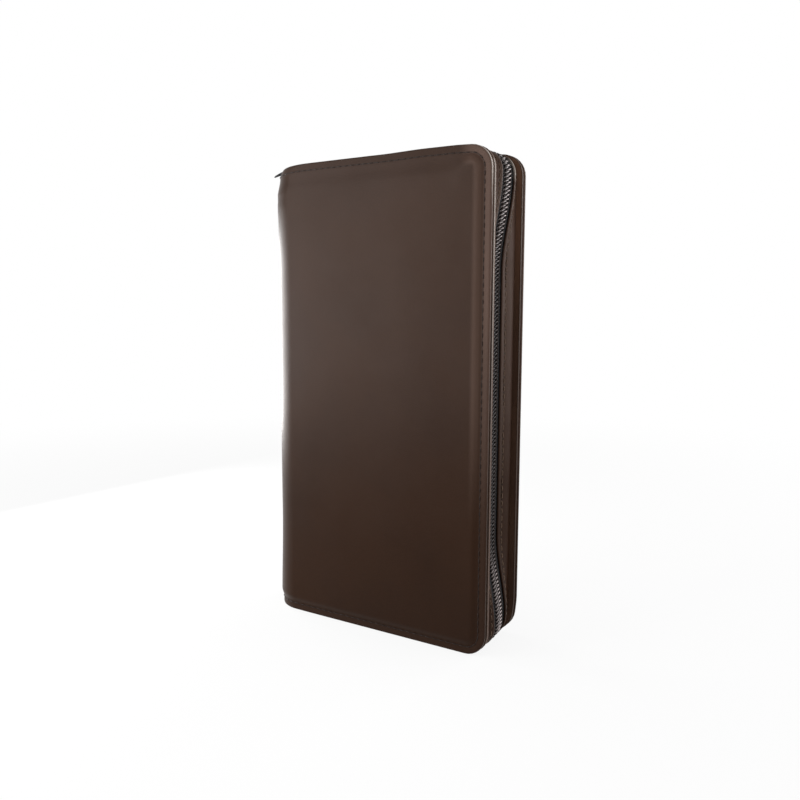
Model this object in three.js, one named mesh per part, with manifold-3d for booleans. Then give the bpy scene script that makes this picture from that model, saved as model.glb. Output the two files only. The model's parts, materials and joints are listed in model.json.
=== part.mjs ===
// Zip-around travel document organizer, standing on its bottom edge.
// Millimetres. X runs from the rounded spine (-X) to the opening edge (+X),
// Y from the front cover (-Y) to the back cover (+Y), and Z is up.
// The origin is under the middle of the whole object, on the surface it stands on.

import * as THREE from 'three';
import { mergeVertices } from 'three/addons/utils/BufferGeometryUtils.js';
import Module from 'manifold-3d';

const wasm = await Module();
wasm.setup();

// Overall size of the closed organizer
const height = 226;
const width = 127.4;
const thickness = 34.6;
const cornerRadius = 10;

// Layers of each cover, from the outside in
const outerLeather = 1.5;
const coreBoard = 1.2;
const innerLeather = 1.4;
const glueLine = 0.1;
const boardInset = 1.0;

// Shape of the outer leather: a padded field inside a flat stitched margin
const padHeight = 0.7;
const stitchInset = 3.4;
const stitchDip = 0.15;
const padStart = 4.6;
const padReach = 4.8;
const edgeRound = 0.5;

// Spine: one wrap of leather in three flexing parts, with its own lining
const spineLining = 1.2;
const spineParts = 3;
const spineSteps = 5;
const spineLiningInset = 0.6;

// Gusset: the folded leather wall between a cover and the zip
const gussetThickness = 1.15;
const gussetBaseInset = 2.7;
const gussetFlange = 6.5;
const gussetEdgeHalf = 5.15;
const gussetEdgeProud = 0.2;
const wallBendStart = 6.0;
const wallBendEnd = 11.3;

// Zip line: flush with the covers on the runs and corners, drawn in along the side
const zipRunInset = 0.4;
const zipSideInset = 4.7;
const zipSideReach = 42;
const zipSideSway = 1.8;

// Zip chain
const toothPitch = 1.8;
const toothThickness = 2.2;
const toothRoot = 1.9;
const toothTipPast = 0.5;
const toothRootHalf = 0.5;
const toothTipHalf = 0.34;
const cordEdge = 3.3;
const tapeThickness = 0.7;
const tapeHem = 9.4;
const stopLength = 1.3;

// Zip slider and its pull
const sliderLength = 11;
const sliderNoseHalf = 4.6;
const sliderTailHalf = 4.3;
const sliderPlate = 1.0;
const sliderClearance = 0.25;
const sliderRim = 0.8;
const postLength = 3.0;
const postHalf = 1.0;
const bridgeHalf = 1.1;
const bridgeLength = 7.0;
const bridgeThickness = 0.7;
const pullBar = 0.9;
const pullGap = 0.15;
const pullArm = 1.2;
const pullLength = 26;
const pullHalf = 3.4;
const pullHole = 1.6;

// Tab of folded tape that leaves the zip over the top of the spine
const tabThickness = 1.0;
const tabWidth = 5;
const tabPastSpine = 8;
const tabDroop = 2.4;
const seatGap = 0.3;

// Pockets
const pocketLeather = 1.0;
const pocketSeam = 2.0;
const slipDepth = 1.1;
const pocketSideMargin = 1.5;
const pocketRound = 4;
const slipTopMargin = 20;
const passportDepth = 5.0;
const passportWidth = 91;
const passportHeight = 93.3;
const notchRadius = 11;
const cardSlots = 6;
const cardSlotStep = 16;
const cardSlotHeight = 52;
const cardSlotTopMargin = 10;
const cardSlotWidth = 91;
const cardLeather = 0.8;

// Pen loop on the spine lining
const penLoopBore = 5.6;
const penLoopWall = 1.0;
const penLoopHeight = 26;
const penLoopRise = 15;

// Mesh fineness
const cornerSteps = 6;
const sideSteps = 6;
const arcSegments = 12;
const leastRadius = 0.3;

// Places worked out from the sizes
const openX = width / 2;
const outerY = thickness / 2;
const spineX = -openX + outerY;
const boardY = outerY - outerLeather - glueLine;
const liningY = boardY - coreBoard - glueLine;
const wallY = liningY - innerLeather - glueLine;
const tapeDepth = gussetThickness - gussetEdgeProud + glueLine;
const zipRunTop = height - zipRunInset;
const slipTop = height - slipTopMargin;
const cardSlotTop = slipTop - cardSlotTopMargin;
const penLoopMiddle = height / 2 + penLoopRise;
const xMin = -openX - tabPastSpine;
const centreX = (xMin + openX) / 2;

// Materials
const paint = (color, roughness, metalness) =>
  new THREE.MeshStandardMaterial({ color, roughness, metalness });
const looks = {
  leather: paint(0x40291c, 0.38, 0),
  lining: paint(0x4a3022, 0.55, 0),
  board: paint(0x17110e, 0.85, 0),
  gusset: paint(0x3d271b, 0.45, 0),
  tape: paint(0x0e0e0f, 0.9, 0),
  teeth: paint(0x6a6062, 0.35, 0.6),
  metal: paint(0x4b4648, 0.3, 0.9),
  pocket: paint(0x513627, 0.5, 0),
  elastic: paint(0x2a1b14, 0.7, 0),
};

const model = new THREE.Group();
model.position.x = -centreX;

function addPiece(name, geometry, material) {
  const mesh = new THREE.Mesh(geometry, material);
  mesh.name = name;
  model.add(mesh);
  return mesh;
}

// A closed geometry from points and triangles, turned to face outwards
function closedGeometry(points, triangles) {
  const geometry = new THREE.BufferGeometry();
  geometry.setAttribute('position', new THREE.Float32BufferAttribute(points.flat(), 3));
  geometry.setIndex(signedVolume(points, triangles) < 0 ? flipped(triangles) : triangles);
  geometry.computeVertexNormals();
  return geometry;
}

function flipped(triangles) {
  const turned = [];
  for (let i = 0; i < triangles.length; i += 3) {
    turned.push(triangles[i], triangles[i + 2], triangles[i + 1]);
  }
  return turned;
}

function signedVolume(points, triangles) {
  let sum = 0;
  for (let i = 0; i < triangles.length; i += 3) {
    const [a, b, c] = [points[triangles[i]], points[triangles[i + 1]], points[triangles[i + 2]]];
    sum += a[0] * (b[1] * c[2] - b[2] * c[1]);
    sum += a[1] * (b[2] * c[0] - b[0] * c[2]);
    sum += a[2] * (b[0] * c[1] - b[1] * c[0]);
  }
  return sum / 6;
}

// Quads between two rows of points, given as the index of each row's first point
function band(triangles, first, second, count, closed) {
  const last = closed ? count : count - 1;
  for (let i = 0; i < last; i += 1) {
    const j = (i + 1) % count;
    triangles.push(first + i, second + i, second + j);
    triangles.push(first + i, second + j, first + j);
  }
}

// A flat cap over a loop of corners, from its outline in its own plane, turned so
// that it runs along the loop the other way from the faces already there
function cap(triangles, outline, indices) {
  const shape = outline.map(([u, v]) => new THREE.Vector2(u, v));
  const faces = THREE.ShapeUtils.triangulateShape(shape, []);
  const corners = faces.flat().map((corner) => indices[corner]);
  const clash = hasEdge(corners, indices[0], indices[1])
    === hasEdge(triangles, indices[0], indices[1]);
  triangles.push(...(clash ? flipped(corners) : corners));
}

function hasEdge(triangles, from, to) {
  for (let i = 0; i < triangles.length; i += 3) {
    const [a, b, c] = triangles.slice(i, i + 3);
    if ((a === from && b === to) || (b === from && c === to) || (c === from && a === to)) {
      return true;
    }
  }
  return false;
}

// A solid lofted through closed sections that all have the outline's number of points
function loft(sections, outline) {
  const count = outline.length;
  const triangles = [];
  for (let k = 0; k < sections.length - 1; k += 1) {
    band(triangles, k * count, (k + 1) * count, count, true);
  }
  const start = outline.map((point, i) => i);
  cap(triangles, outline, start);
  cap(triangles, outline, start.map((i) => (sections.length - 1) * count + i));
  return closedGeometry(sections.flat(), triangles);
}

// The covers' outline: bottom run, corner, side, corner and top run.
// A station is a stretch of it and the share of that stretch.
function outlinePoint({ stretch, share, from = spineX }, inset) {
  const radius = Math.max(cornerRadius - inset, leastRadius);
  const centre = inset + radius;
  const runEnd = openX - centre;
  if (stretch === 'bottom') {
    return [from + (runEnd - from) * share, inset];
  }
  if (stretch === 'top') {
    return [runEnd + (from - runEnd) * share, height - inset];
  }
  if (stretch === 'side') {
    return [openX - inset, centre + (height - 2 * centre) * share];
  }
  const turn = (share * Math.PI) / 2;
  if (stretch === 'lower') {
    return [runEnd + radius * Math.sin(turn), centre - radius * Math.cos(turn)];
  }
  return [runEnd + radius * Math.cos(turn), height - centre + radius * Math.sin(turn)];
}

// Stations from the spine round to the spine again. The side has one for each of its
// shares, which the covers leave out and the zip's bends need.
function stationsAlong(from, sideShares) {
  const corner = Array.from({ length: cornerSteps }, (_, i) => (i + 1) / cornerSteps);
  const shares = [
    ['bottom', [0, 1]], ['lower', corner], ['side', [...sideShares, 1]],
    ['upper', corner], ['top', [1]]];
  return shares.flatMap(([stretch, list]) =>
    list.map((share) => ({ stretch, share, from })));
}

// A panel with the covers' outline, open at the spine. The profile lists
// [inset, y] from the middle of one face, round the edge, to the middle of the other.
function panel(profile, from = spineX) {
  const stations = stationsAlong(from, []);
  const count = stations.length;
  const points = [];
  for (const [inset, y] of profile) {
    for (const station of stations) {
      const [x, z] = outlinePoint(station, inset);
      points.push([x, y, z]);
    }
  }
  const triangles = [];
  for (let k = 0; k < profile.length - 1; k += 1) {
    band(triangles, k * count, (k + 1) * count, count, false);
  }
  ladder(triangles, 0, count, true);
  ladder(triangles, (profile.length - 1) * count, count, false);
  const outline = [];
  const indices = [];
  profile.forEach(([inset, y], k) => {
    outline.push([y, inset]);
    indices.push(k * count);
  });
  [...profile].reverse().forEach(([inset, y], k) => {
    outline.push([y, height - inset]);
    indices.push((profile.length - 1 - k) * count + count - 1);
  });
  cap(triangles, outline, indices);
  return closedGeometry(points, triangles);
}

// The flat middle of a panel's face, in strips between its lower and upper halves
function ladder(triangles, first, count, reversed) {
  for (let i = 0; i < count / 2 - 1; i += 1) {
    const a = first + i;
    const b = first + i + 1;
    const c = first + count - 2 - i;
    const d = first + count - 1 - i;
    const faces = b === c ? [[a, b, d]] : [[a, b, c], [a, c, d]];
    for (const [p, q, r] of faces) {
      if (reversed) triangles.push(p, q, r);
      else triangles.push(p, r, q);
    }
  }
}

// A section of [radius, z] swept about the spine's middle line.
// The angle is 0 at the back cover and 180 degrees at the front cover.
function spineSweep(section, start, end) {
  const sections = [];
  for (let k = 0; k <= spineSteps; k += 1) {
    const angle = start + ((end - start) * k) / spineSteps;
    sections.push(section.map(([radius, z]) => [
      spineX - radius * Math.sin(angle), radius * Math.cos(angle), z]));
  }
  return loft(sections, section);
}

// Manifold solids, for joins and cuts
function toManifold(geometry) {
  const bare = geometry.clone();
  bare.deleteAttribute('normal');
  bare.deleteAttribute('uv');
  const merged = mergeVertices(bare, 1e-4);
  return new wasm.Manifold(new wasm.Mesh({
    numProp: 3,
    vertProperties: new Float32Array(merged.attributes.position.array),
    triVerts: new Uint32Array(merged.index.array),
  }));
}

function fromManifold(solid) {
  const mesh = solid.getMesh();
  const geometry = new THREE.BufferGeometry();
  geometry.setAttribute('position', new THREE.BufferAttribute(mesh.vertProperties, 3));
  geometry.setIndex(new THREE.BufferAttribute(mesh.triVerts, 1));
  geometry.computeVertexNormals();
  return geometry;
}

function box(low, high) {
  const size = high.map((value, i) => value - low[i]);
  const geometry = new THREE.BoxGeometry(...size);
  geometry.translate(...low.map((value, i) => value + size[i] / 2));
  return toManifold(geometry);
}

// A shape drawn in X and Z, given thickness from one Y to another
function plate(shape, yLow, yHigh) {
  const geometry = new THREE.ExtrudeGeometry(shape, {
    depth: yHigh - yLow, bevelEnabled: false, curveSegments: 4 });
  geometry.rotateX(Math.PI / 2);
  geometry.translate(0, yHigh, 0);
  return toManifold(geometry);
}

// A rectangle in X and Z with its lower corners rounded
function pocketShape(left, right, bottom, top, round) {
  const shape = new THREE.Shape();
  shape.moveTo(left, top);
  shape.lineTo(left, bottom + round);
  shape.absarc(left + round, bottom + round, round, Math.PI, Math.PI * 1.5, false);
  shape.lineTo(right - round, bottom);
  shape.absarc(right - round, bottom + round, round, Math.PI * 1.5, Math.PI * 2, false);
  shape.lineTo(right, top);
  shape.closePath();
  return shape;
}

function smooth(value) {
  const t = Math.min(Math.max(value, 0), 1);
  return t * t * (3 - 2 * t);
}

// How far the side of the zip is drawn in at a height: 0 at the corners, 1 between them
const sideStraight = height - 2 * cornerRadius;
const bendReach = Math.min(zipSideReach, sideStraight / 2);
function drawnIn(z) {
  const above = z - cornerRadius;
  return smooth(above / bendReach) * smooth((sideStraight - above) / bendReach);
}
const bendSteps = Array.from({ length: sideSteps }, (_, i) =>
  ((i + 1) * bendReach) / sideSteps / sideStraight);
const bendShares = [
  ...bendSteps, ...bendSteps.slice(0, bendReach < sideStraight / 2 ? sideSteps : -1)
    .reverse().map((share) => 1 - share)];

// A point on the wall between the covers. It lies y from the zip's middle line and
// depth below the wall's surface, which leaves the cover and meets the zip.
function wallPoint(station, y, depth) {
  const level = outlinePoint(station, zipRunInset)[1];
  const draw = station.stretch === 'side' ? drawnIn(level) : 0;
  const zipInset = zipRunInset + (zipSideInset - zipRunInset) * draw;
  const share = 1 - smooth((Math.abs(y) - wallBendStart) / (wallBendEnd - wallBendStart));
  const inset = gussetBaseInset + (zipInset - gussetBaseInset) * share + depth;
  const [x, z] = outlinePoint(station, inset);
  return [x, y - zipSideSway * draw * share, z];
}

function wallLoft(section, from, side) {
  const stations = stationsAlong(from, bendShares);
  const sections = stations.map((station) =>
    section.map(([y, depth]) => wallPoint(station, side * y, depth)));
  return loft(sections, section);
}

// Outer leather: padded field, stitched margin with its groove, rounded edge
const leatherProfile = [
  [padStart + padReach, padHeight],
  [padStart + padReach * 0.6, padHeight * 0.82],
  [padStart + padReach * 0.25, padHeight * 0.35],
  [stitchInset, -stitchDip],
  [stitchInset * 0.5, 0],
  [edgeRound, 0],
  [0, -edgeRound],
  [0, -outerLeather],
];

function outerCover(name, side) {
  const profile = leatherProfile.map(([inset, level]) => [inset, side * (outerY + level)]);
  addPiece(name, panel(profile), looks.leather);
}

function flatPanel(name, inset, yOuter, layer, side, look) {
  const profile = [[inset, side * yOuter], [inset, side * (yOuter - layer)]];
  addPiece(name, panel(profile), look);
}

for (const [word, side] of [['front', -1], ['back', 1]]) {
  outerCover(`${word}_cover_leather`, side);
  flatPanel(`${word}_core_board`, boardInset, boardY, coreBoard, side, looks.board);
  flatPanel(`${word}_inner_leather`, 0, liningY, innerLeather, side, looks.lining);
}

// Spine: the cover leather goes on round it, and flexes along lines on its outer face
const spineOuter = leatherProfile.slice(0, -1).map(([inset, level]) =>
  [outerY + level, inset]);
const spineSection = [
  [outerY - outerLeather, 0],
  ...[...spineOuter].reverse(),
  ...spineOuter.map(([radius, z]) => [radius, height - z]),
  [outerY - outerLeather, height],
];
const liningRadius = outerY - outerLeather - glueLine;
const liningSection = [
  [liningRadius - spineLining, spineLiningInset],
  [liningRadius, spineLiningInset],
  [liningRadius, height - spineLiningInset],
  [liningRadius - spineLining, height - spineLiningInset],
];
const partAngle = Math.PI / spineParts;
const seamAngle = glueLine / outerY;
['back', 'middle', 'front'].forEach((word, k) => {
  const start = k * partAngle + seamAngle;
  const end = (k + 1) * partAngle - seamAngle;
  addPiece(`spine_leather_${word}`, spineSweep(spineSection, start, end), looks.leather);
  addPiece(`spine_lining_${word}`, spineSweep(liningSection, start, end), looks.lining);
});

// Gussets: a folded edge at the zip, the wall and a flange on the cover's inside
const wallStart = spineX + seatGap;
const gussetInner = gussetThickness - gussetEdgeProud;
const flangeY = wallY - gussetThickness;
const wallMid = (wallBendStart + wallBendEnd) / 2;
const gussetSection = [
  [wallY, -gussetEdgeProud],
  [wallBendEnd, -gussetEdgeProud],
  [wallMid, -gussetEdgeProud],
  [wallBendStart, -gussetEdgeProud],
  [gussetEdgeHalf + gussetThickness * 0.3, -gussetEdgeProud],
  [gussetEdgeHalf, -gussetEdgeProud + gussetThickness * 0.3],
  [gussetEdgeHalf, gussetInner - gussetThickness * 0.2],
  [gussetEdgeHalf + gussetThickness * 0.2, gussetInner],
  [wallBendStart, gussetInner],
  [wallMid, gussetInner],
  [tapeHem, gussetInner],
  [flangeY, gussetInner],
  [flangeY, gussetFlange],
  [wallY, gussetFlange],
];
addPiece('front_gusset', wallLoft(gussetSection, wallStart, -1), looks.gusset);
addPiece('back_gusset', wallLoft(gussetSection, wallStart, 1), looks.gusset);

// Zip tapes: from the teeth's cord to a hem under the gusset's folded edge
const tapeSection = [
  [cordEdge + glueLine, tapeDepth],
  [wallBendStart, tapeDepth],
  [wallMid, tapeDepth],
  [tapeHem, tapeDepth],
  [tapeHem, tapeDepth + tapeThickness],
  [wallMid, tapeDepth + tapeThickness],
  [wallBendStart, tapeDepth + tapeThickness],
  [cordEdge + glueLine, tapeDepth + tapeThickness],
];
addPiece('front_zip_tape', wallLoft(tapeSection, wallStart, -1), looks.tape);
addPiece('back_zip_tape', wallLoft(tapeSection, wallStart, 1), looks.tape);

// Zip line: lengths along its stretches, at the middle of the teeth
const chainInset = zipRunInset + toothThickness / 2;
const chainRadius = Math.max(cornerRadius - chainInset, leastRadius);
const runLength = openX - chainInset - chainRadius - spineX;
const cornerLength = (chainRadius * Math.PI) / 2;
const sideLength = height - 2 * (chainInset + chainRadius);
const chainLength = 2 * runLength + 2 * cornerLength + sideLength;

function stationAt(distance) {
  let left = distance;
  const stretches = [
    ['bottom', runLength], ['lower', cornerLength], ['side', sideLength],
    ['upper', cornerLength], ['top', runLength]];
  for (const [stretch, length] of stretches) {
    if (left <= length || stretch === 'top') return { stretch, share: left / length };
    left -= length;
  }
  return null;
}

// Teeth of one side, woven on one cord: each tooth tapers to its tip and sits
// half a pitch from the teeth of the other side
const sliderTail = seatGap + stopLength + seatGap + sliderLength;
const teethStart = seatGap + stopLength + seatGap + toothPitch;
const teethEnd = chainLength - sliderTail - toothPitch;
const toothCount = Math.floor((teethEnd - teethStart) / toothPitch);

function teeth(side, offset) {
  const points = [];
  const triangles = [];
  const add = (distance, y) => {
    const station = stationAt(distance);
    points.push(wallPoint(station, side * y, 0));
    points.push(wallPoint(station, side * y, toothThickness));
    return points.length - 2;
  };
  // Both faces of a triangle between corners, and the wall along an edge of it
  const face = (a, b, c) => triangles.push(a, b, c, a + 1, c + 1, b + 1);
  const wall = (a, b) => triangles.push(a, a + 1, b + 1, a, b + 1, b);
  let before = null;
  for (let k = 0; k < toothCount; k += 1) {
    const middle = teethStart + (k + offset) * toothPitch;
    const rootA = add(middle - toothRootHalf, toothRoot);
    const tipA = add(middle - toothTipHalf, -toothTipPast);
    const tipB = add(middle + toothTipHalf, -toothTipPast);
    const rootB = add(middle + toothRootHalf, toothRoot);
    const cord = add(middle, cordEdge);
    face(rootA, tipA, tipB);
    face(rootA, tipB, rootB);
    face(rootA, rootB, cord);
    wall(rootA, tipA);
    wall(tipA, tipB);
    wall(tipB, rootB);
    if (before) {
      face(before.rootB, rootA, before.cord);
      face(before.cord, rootA, cord);
      wall(before.rootB, rootA);
      wall(cord, before.cord);
    } else {
      wall(cord, rootA);
    }
    before = { rootB, cord };
  }
  wall(before.rootB, before.cord);
  return closedGeometry(points, triangles);
}
addPiece('front_zip_teeth', teeth(-1, 0), looks.teeth);
addPiece('back_zip_teeth', teeth(1, 0.5), looks.teeth);

// Stops: one on each tape past the slider, and one across the chain's lower end
const stopLow = zipRunTop - toothThickness;
const stopX = spineX + seatGap;
function topStop(side) {
  const y = [side * toothRoot, side * cordEdge].sort((a, b) => a - b);
  return box([stopX, y[0], stopLow], [stopX + stopLength, y[1], zipRunTop]);
}
addPiece('front_top_stop', fromManifold(topStop(-1)), looks.metal);
addPiece('back_top_stop', fromManifold(topStop(1)), looks.metal);
const bottomStop = box([stopX, -cordEdge, zipRunInset],
  [stopX + stopLength, cordEdge, zipRunInset + toothThickness]);
addPiece('zip_bottom_stop', fromManifold(bottomStop), looks.metal);

// Slider: two plates with rims that hold the teeth in, a post between them
// that parts the rows, and a bridge for the pull
const sliderX = stopX + stopLength + seatGap;
const upperPlateLow = zipRunTop + sliderClearance;
const upperPlateTop = upperPlateLow + sliderPlate;
const lowerPlateTop = stopLow - sliderClearance;
const lowerPlateLow = lowerPlateTop - sliderPlate;
const bridgeLow = upperPlateTop + pullBar + 2 * pullGap;
const bridgeTop = bridgeLow + bridgeThickness;
const bridgeX = sliderX + (sliderLength - bridgeLength) / 2;
const tapeTop = zipRunTop - tapeDepth;

function sliderOutline() {
  const shape = new THREE.Shape();
  const nose = 2.2;
  shape.moveTo(sliderX + nose, -sliderNoseHalf);
  shape.lineTo(sliderX + sliderLength, -sliderTailHalf);
  shape.lineTo(sliderX + sliderLength, sliderTailHalf);
  shape.lineTo(sliderX + nose, sliderNoseHalf);
  shape.quadraticCurveTo(sliderX, sliderNoseHalf, sliderX, postHalf);
  shape.lineTo(sliderX, -postHalf);
  shape.quadraticCurveTo(sliderX, -sliderNoseHalf, sliderX + nose, -sliderNoseHalf);
  return shape;
}

function raised(shape, low, high) {
  const geometry = new THREE.ExtrudeGeometry(shape, {
    depth: high - low, bevelEnabled: false, curveSegments: 4 });
  geometry.translate(0, 0, low);
  return toManifold(geometry);
}

function sliderBody() {
  const inner = Math.min(sliderNoseHalf, sliderTailHalf) - sliderRim;
  const end = sliderX + sliderLength + 1;
  const channelLow = lowerPlateTop;
  const channelHigh = upperPlateLow;
  const channel = box([sliderX - 1, -inner, channelLow], [end, inner, channelHigh]);
  const slotLow = tapeTop - tapeThickness - sliderClearance;
  const slot = box([sliderX - 1, -sliderNoseHalf - 1, slotLow],
    [end, sliderNoseHalf + 1, tapeTop + sliderClearance]);
  const post = new THREE.Shape();
  post.moveTo(sliderX, -postHalf * 0.6);
  post.lineTo(sliderX + postLength * 0.4, -postHalf);
  post.lineTo(sliderX + postLength, 0);
  post.lineTo(sliderX + postLength * 0.4, postHalf);
  post.lineTo(sliderX, postHalf * 0.6);
  const bridge = box([bridgeX, -bridgeHalf, upperPlateTop - 0.2],
    [bridgeX + bridgeLength, bridgeHalf, bridgeTop]);
  const eye = box([bridgeX + bridgeThickness, -bridgeHalf - 1, upperPlateTop],
    [bridgeX + bridgeLength - bridgeThickness, bridgeHalf + 1, bridgeLow]);
  return raised(sliderOutline(), lowerPlateLow, upperPlateTop)
    .subtract(channel).subtract(slot)
    .add(raised(post, lowerPlateTop - 0.2, upperPlateLow + 0.2))
    .add(bridge.subtract(eye));
}
addPiece('zip_slider', fromManifold(sliderBody()), looks.metal);

// Pull: a bar under the bridge, two arms long enough to swing over the bridge,
// and a flat tab with a hole
const pivotX = bridgeX + bridgeLength - bridgeThickness - pullGap - pullBar / 2;
const pivotZ = upperPlateTop + pullGap + pullBar / 2;
function pullTab() {
  const bar = new THREE.CylinderGeometry(pullBar / 2, pullBar / 2,
    2 * (bridgeHalf + pullGap + pullArm), 12);
  bar.translate(pivotX, 0, pivotZ);
  const armLow = pivotZ - pullBar / 2;
  const armHigh = pivotZ + pullBar / 2;
  const windowEnd = pivotX + Math.hypot(pivotX - bridgeX, bridgeTop - pivotZ) + seatGap;
  const shape = new THREE.Shape();
  const round = pullHalf;
  const end = pivotX + pullLength;
  shape.moveTo(pivotX, -bridgeHalf - pullGap - pullArm);
  shape.lineTo(windowEnd + pullArm, -pullHalf);
  shape.lineTo(end - round, -pullHalf);
  shape.absarc(end - round, 0, round, -Math.PI / 2, Math.PI / 2, false);
  shape.lineTo(windowEnd + pullArm, pullHalf);
  shape.lineTo(pivotX, bridgeHalf + pullGap + pullArm);
  const hole = new THREE.Path();
  hole.absarc(end - round, 0, pullHole, 0, Math.PI * 2, true);
  shape.holes.push(hole);
  const window = box([pivotX - 2, -bridgeHalf - pullGap, armLow - 1],
    [windowEnd, bridgeHalf + pullGap, armHigh + 1]);
  return raised(shape, armLow, armHigh).subtract(window).add(toManifold(bar));
}
addPiece('pull_tab', fromManifold(pullTab()), looks.metal);

// Zip end tab: over the top edge of the spine and a little down behind it
function endTab() {
  const low = height + seatGap;
  const start = spineX - seatGap;
  const bend = -openX + outerLeather;
  const end = -openX - tabPastSpine;
  const droop = (x) => tabDroop * ((bend - x) / (bend - end)) ** 2;
  const steps = 6;
  const lower = [[start, low]];
  for (let k = 0; k <= steps; k += 1) {
    const x = bend + ((end - bend) * k) / steps;
    lower.push([x, low - droop(x)]);
  }
  const upper = [...lower].reverse().map(([x, z]) => [x, z + tabThickness]);
  const section = [...lower, ...upper];
  const sections = [-0.5, -0.3, 0.3, 0.5].map((share) => {
    const trim = Math.abs(share) > 0.4 ? tabThickness : 0;
    return section.map(([x, z]) => [Math.max(x, end + trim), share * tabWidth, z]);
  });
  return loft(sections, section);
}
addPiece('zip_end_tab', endTab(), looks.tape);

// Slip pockets: a leather panel sewn to the inner leather along its sides and bottom
const pocketInset = gussetBaseInset + gussetFlange + pocketSideMargin;
const pocketLeft = spineX + pocketSideMargin;
const pocketRight = openX - pocketInset;
const pocketOuterY = liningY - innerLeather - glueLine;
const slipInnerY = pocketOuterY - slipDepth;
const slipFaceY = slipInnerY - pocketLeather;

function slipPocket(side) {
  const outer = pocketShape(pocketLeft, pocketRight, pocketInset, slipTop, pocketRound);
  const inner = pocketShape(pocketLeft + pocketSeam, pocketRight - pocketSeam,
    pocketInset + pocketSeam, slipTop + 1, pocketRound - pocketSeam);
  const [low, high] = [side * slipFaceY, side * pocketOuterY].sort((a, b) => a - b);
  const [cutLow, cutHigh] = [side * slipInnerY, side * (pocketOuterY + 1)].sort((a, b) => a - b);
  return plate(outer, low, high).subtract(plate(inner, cutLow, cutHigh));
}
addPiece('slip_pocket', fromManifold(slipPocket(-1)), looks.pocket);
addPiece('ticket_pocket', fromManifold(slipPocket(1)), looks.pocket);

// Passport pocket: five millimetres deep, open at the top, with a thumb notch
const passportMiddle = (pocketLeft + pocketRight) / 2;
const passportOuterY = slipFaceY - glueLine;
const passportFaceY = passportOuterY - passportDepth - pocketLeather;
function passportPocket() {
  const half = passportWidth / 2;
  const left = passportMiddle - half - pocketLeather;
  const right = passportMiddle + half + pocketLeather;
  const bottom = pocketInset + pocketSeam;
  const top = bottom + passportHeight;
  const outer = pocketShape(left, right, bottom, top, pocketRound);
  const inner = pocketShape(left + pocketLeather, right - pocketLeather,
    bottom + pocketLeather, top + 1, pocketRound - pocketLeather);
  const notch = new THREE.Shape();
  notch.absarc(passportMiddle, top, notchRadius, 0, Math.PI * 2, false);
  return plate(outer, passportFaceY, passportOuterY)
    .subtract(plate(inner, passportFaceY + pocketLeather, passportOuterY + 1))
    .subtract(plate(notch, passportFaceY - 1, passportFaceY + pocketLeather + 0.5));
}
addPiece('passport_pocket', fromManifold(passportPocket()), looks.pocket);

// Card slots: leather strips that overlap like shingles, each lower than the last
for (let i = 0; i < cardSlots; i += 1) {
  const outerFace = slipFaceY - glueLine - i * (cardLeather + glueLine);
  const top = cardSlotTop - i * cardSlotStep;
  const half = cardSlotWidth / 2;
  const shape = pocketShape(passportMiddle - half, passportMiddle + half,
    top - cardSlotHeight, top, pocketRound);
  const slot = plate(shape, -outerFace, -outerFace + cardLeather);
  addPiece(`card_slot_${i + 1}`, fromManifold(slot), looks.pocket);
}

// Pen loop: a sewn ring that stands on the middle of the spine's lining
const penLoopOuter = penLoopBore + penLoopWall;
const penLoopX = spineX - (liningRadius - spineLining) + seatGap + penLoopOuter;
function penLoop() {
  const shape = new THREE.Shape();
  shape.absarc(penLoopX, 0, penLoopOuter, 0, Math.PI * 2, false);
  const hole = new THREE.Path();
  hole.absarc(penLoopX, 0, penLoopBore, 0, Math.PI * 2, true);
  shape.holes.push(hole);
  const geometry = new THREE.ExtrudeGeometry(shape, {
    depth: penLoopHeight, bevelEnabled: false, curveSegments: arcSegments });
  geometry.translate(0, 0, penLoopMiddle - penLoopHeight / 2);
  return fromManifold(toManifold(geometry));
}
addPiece('pen_loop', penLoop(), looks.elastic);

export default model;
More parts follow.
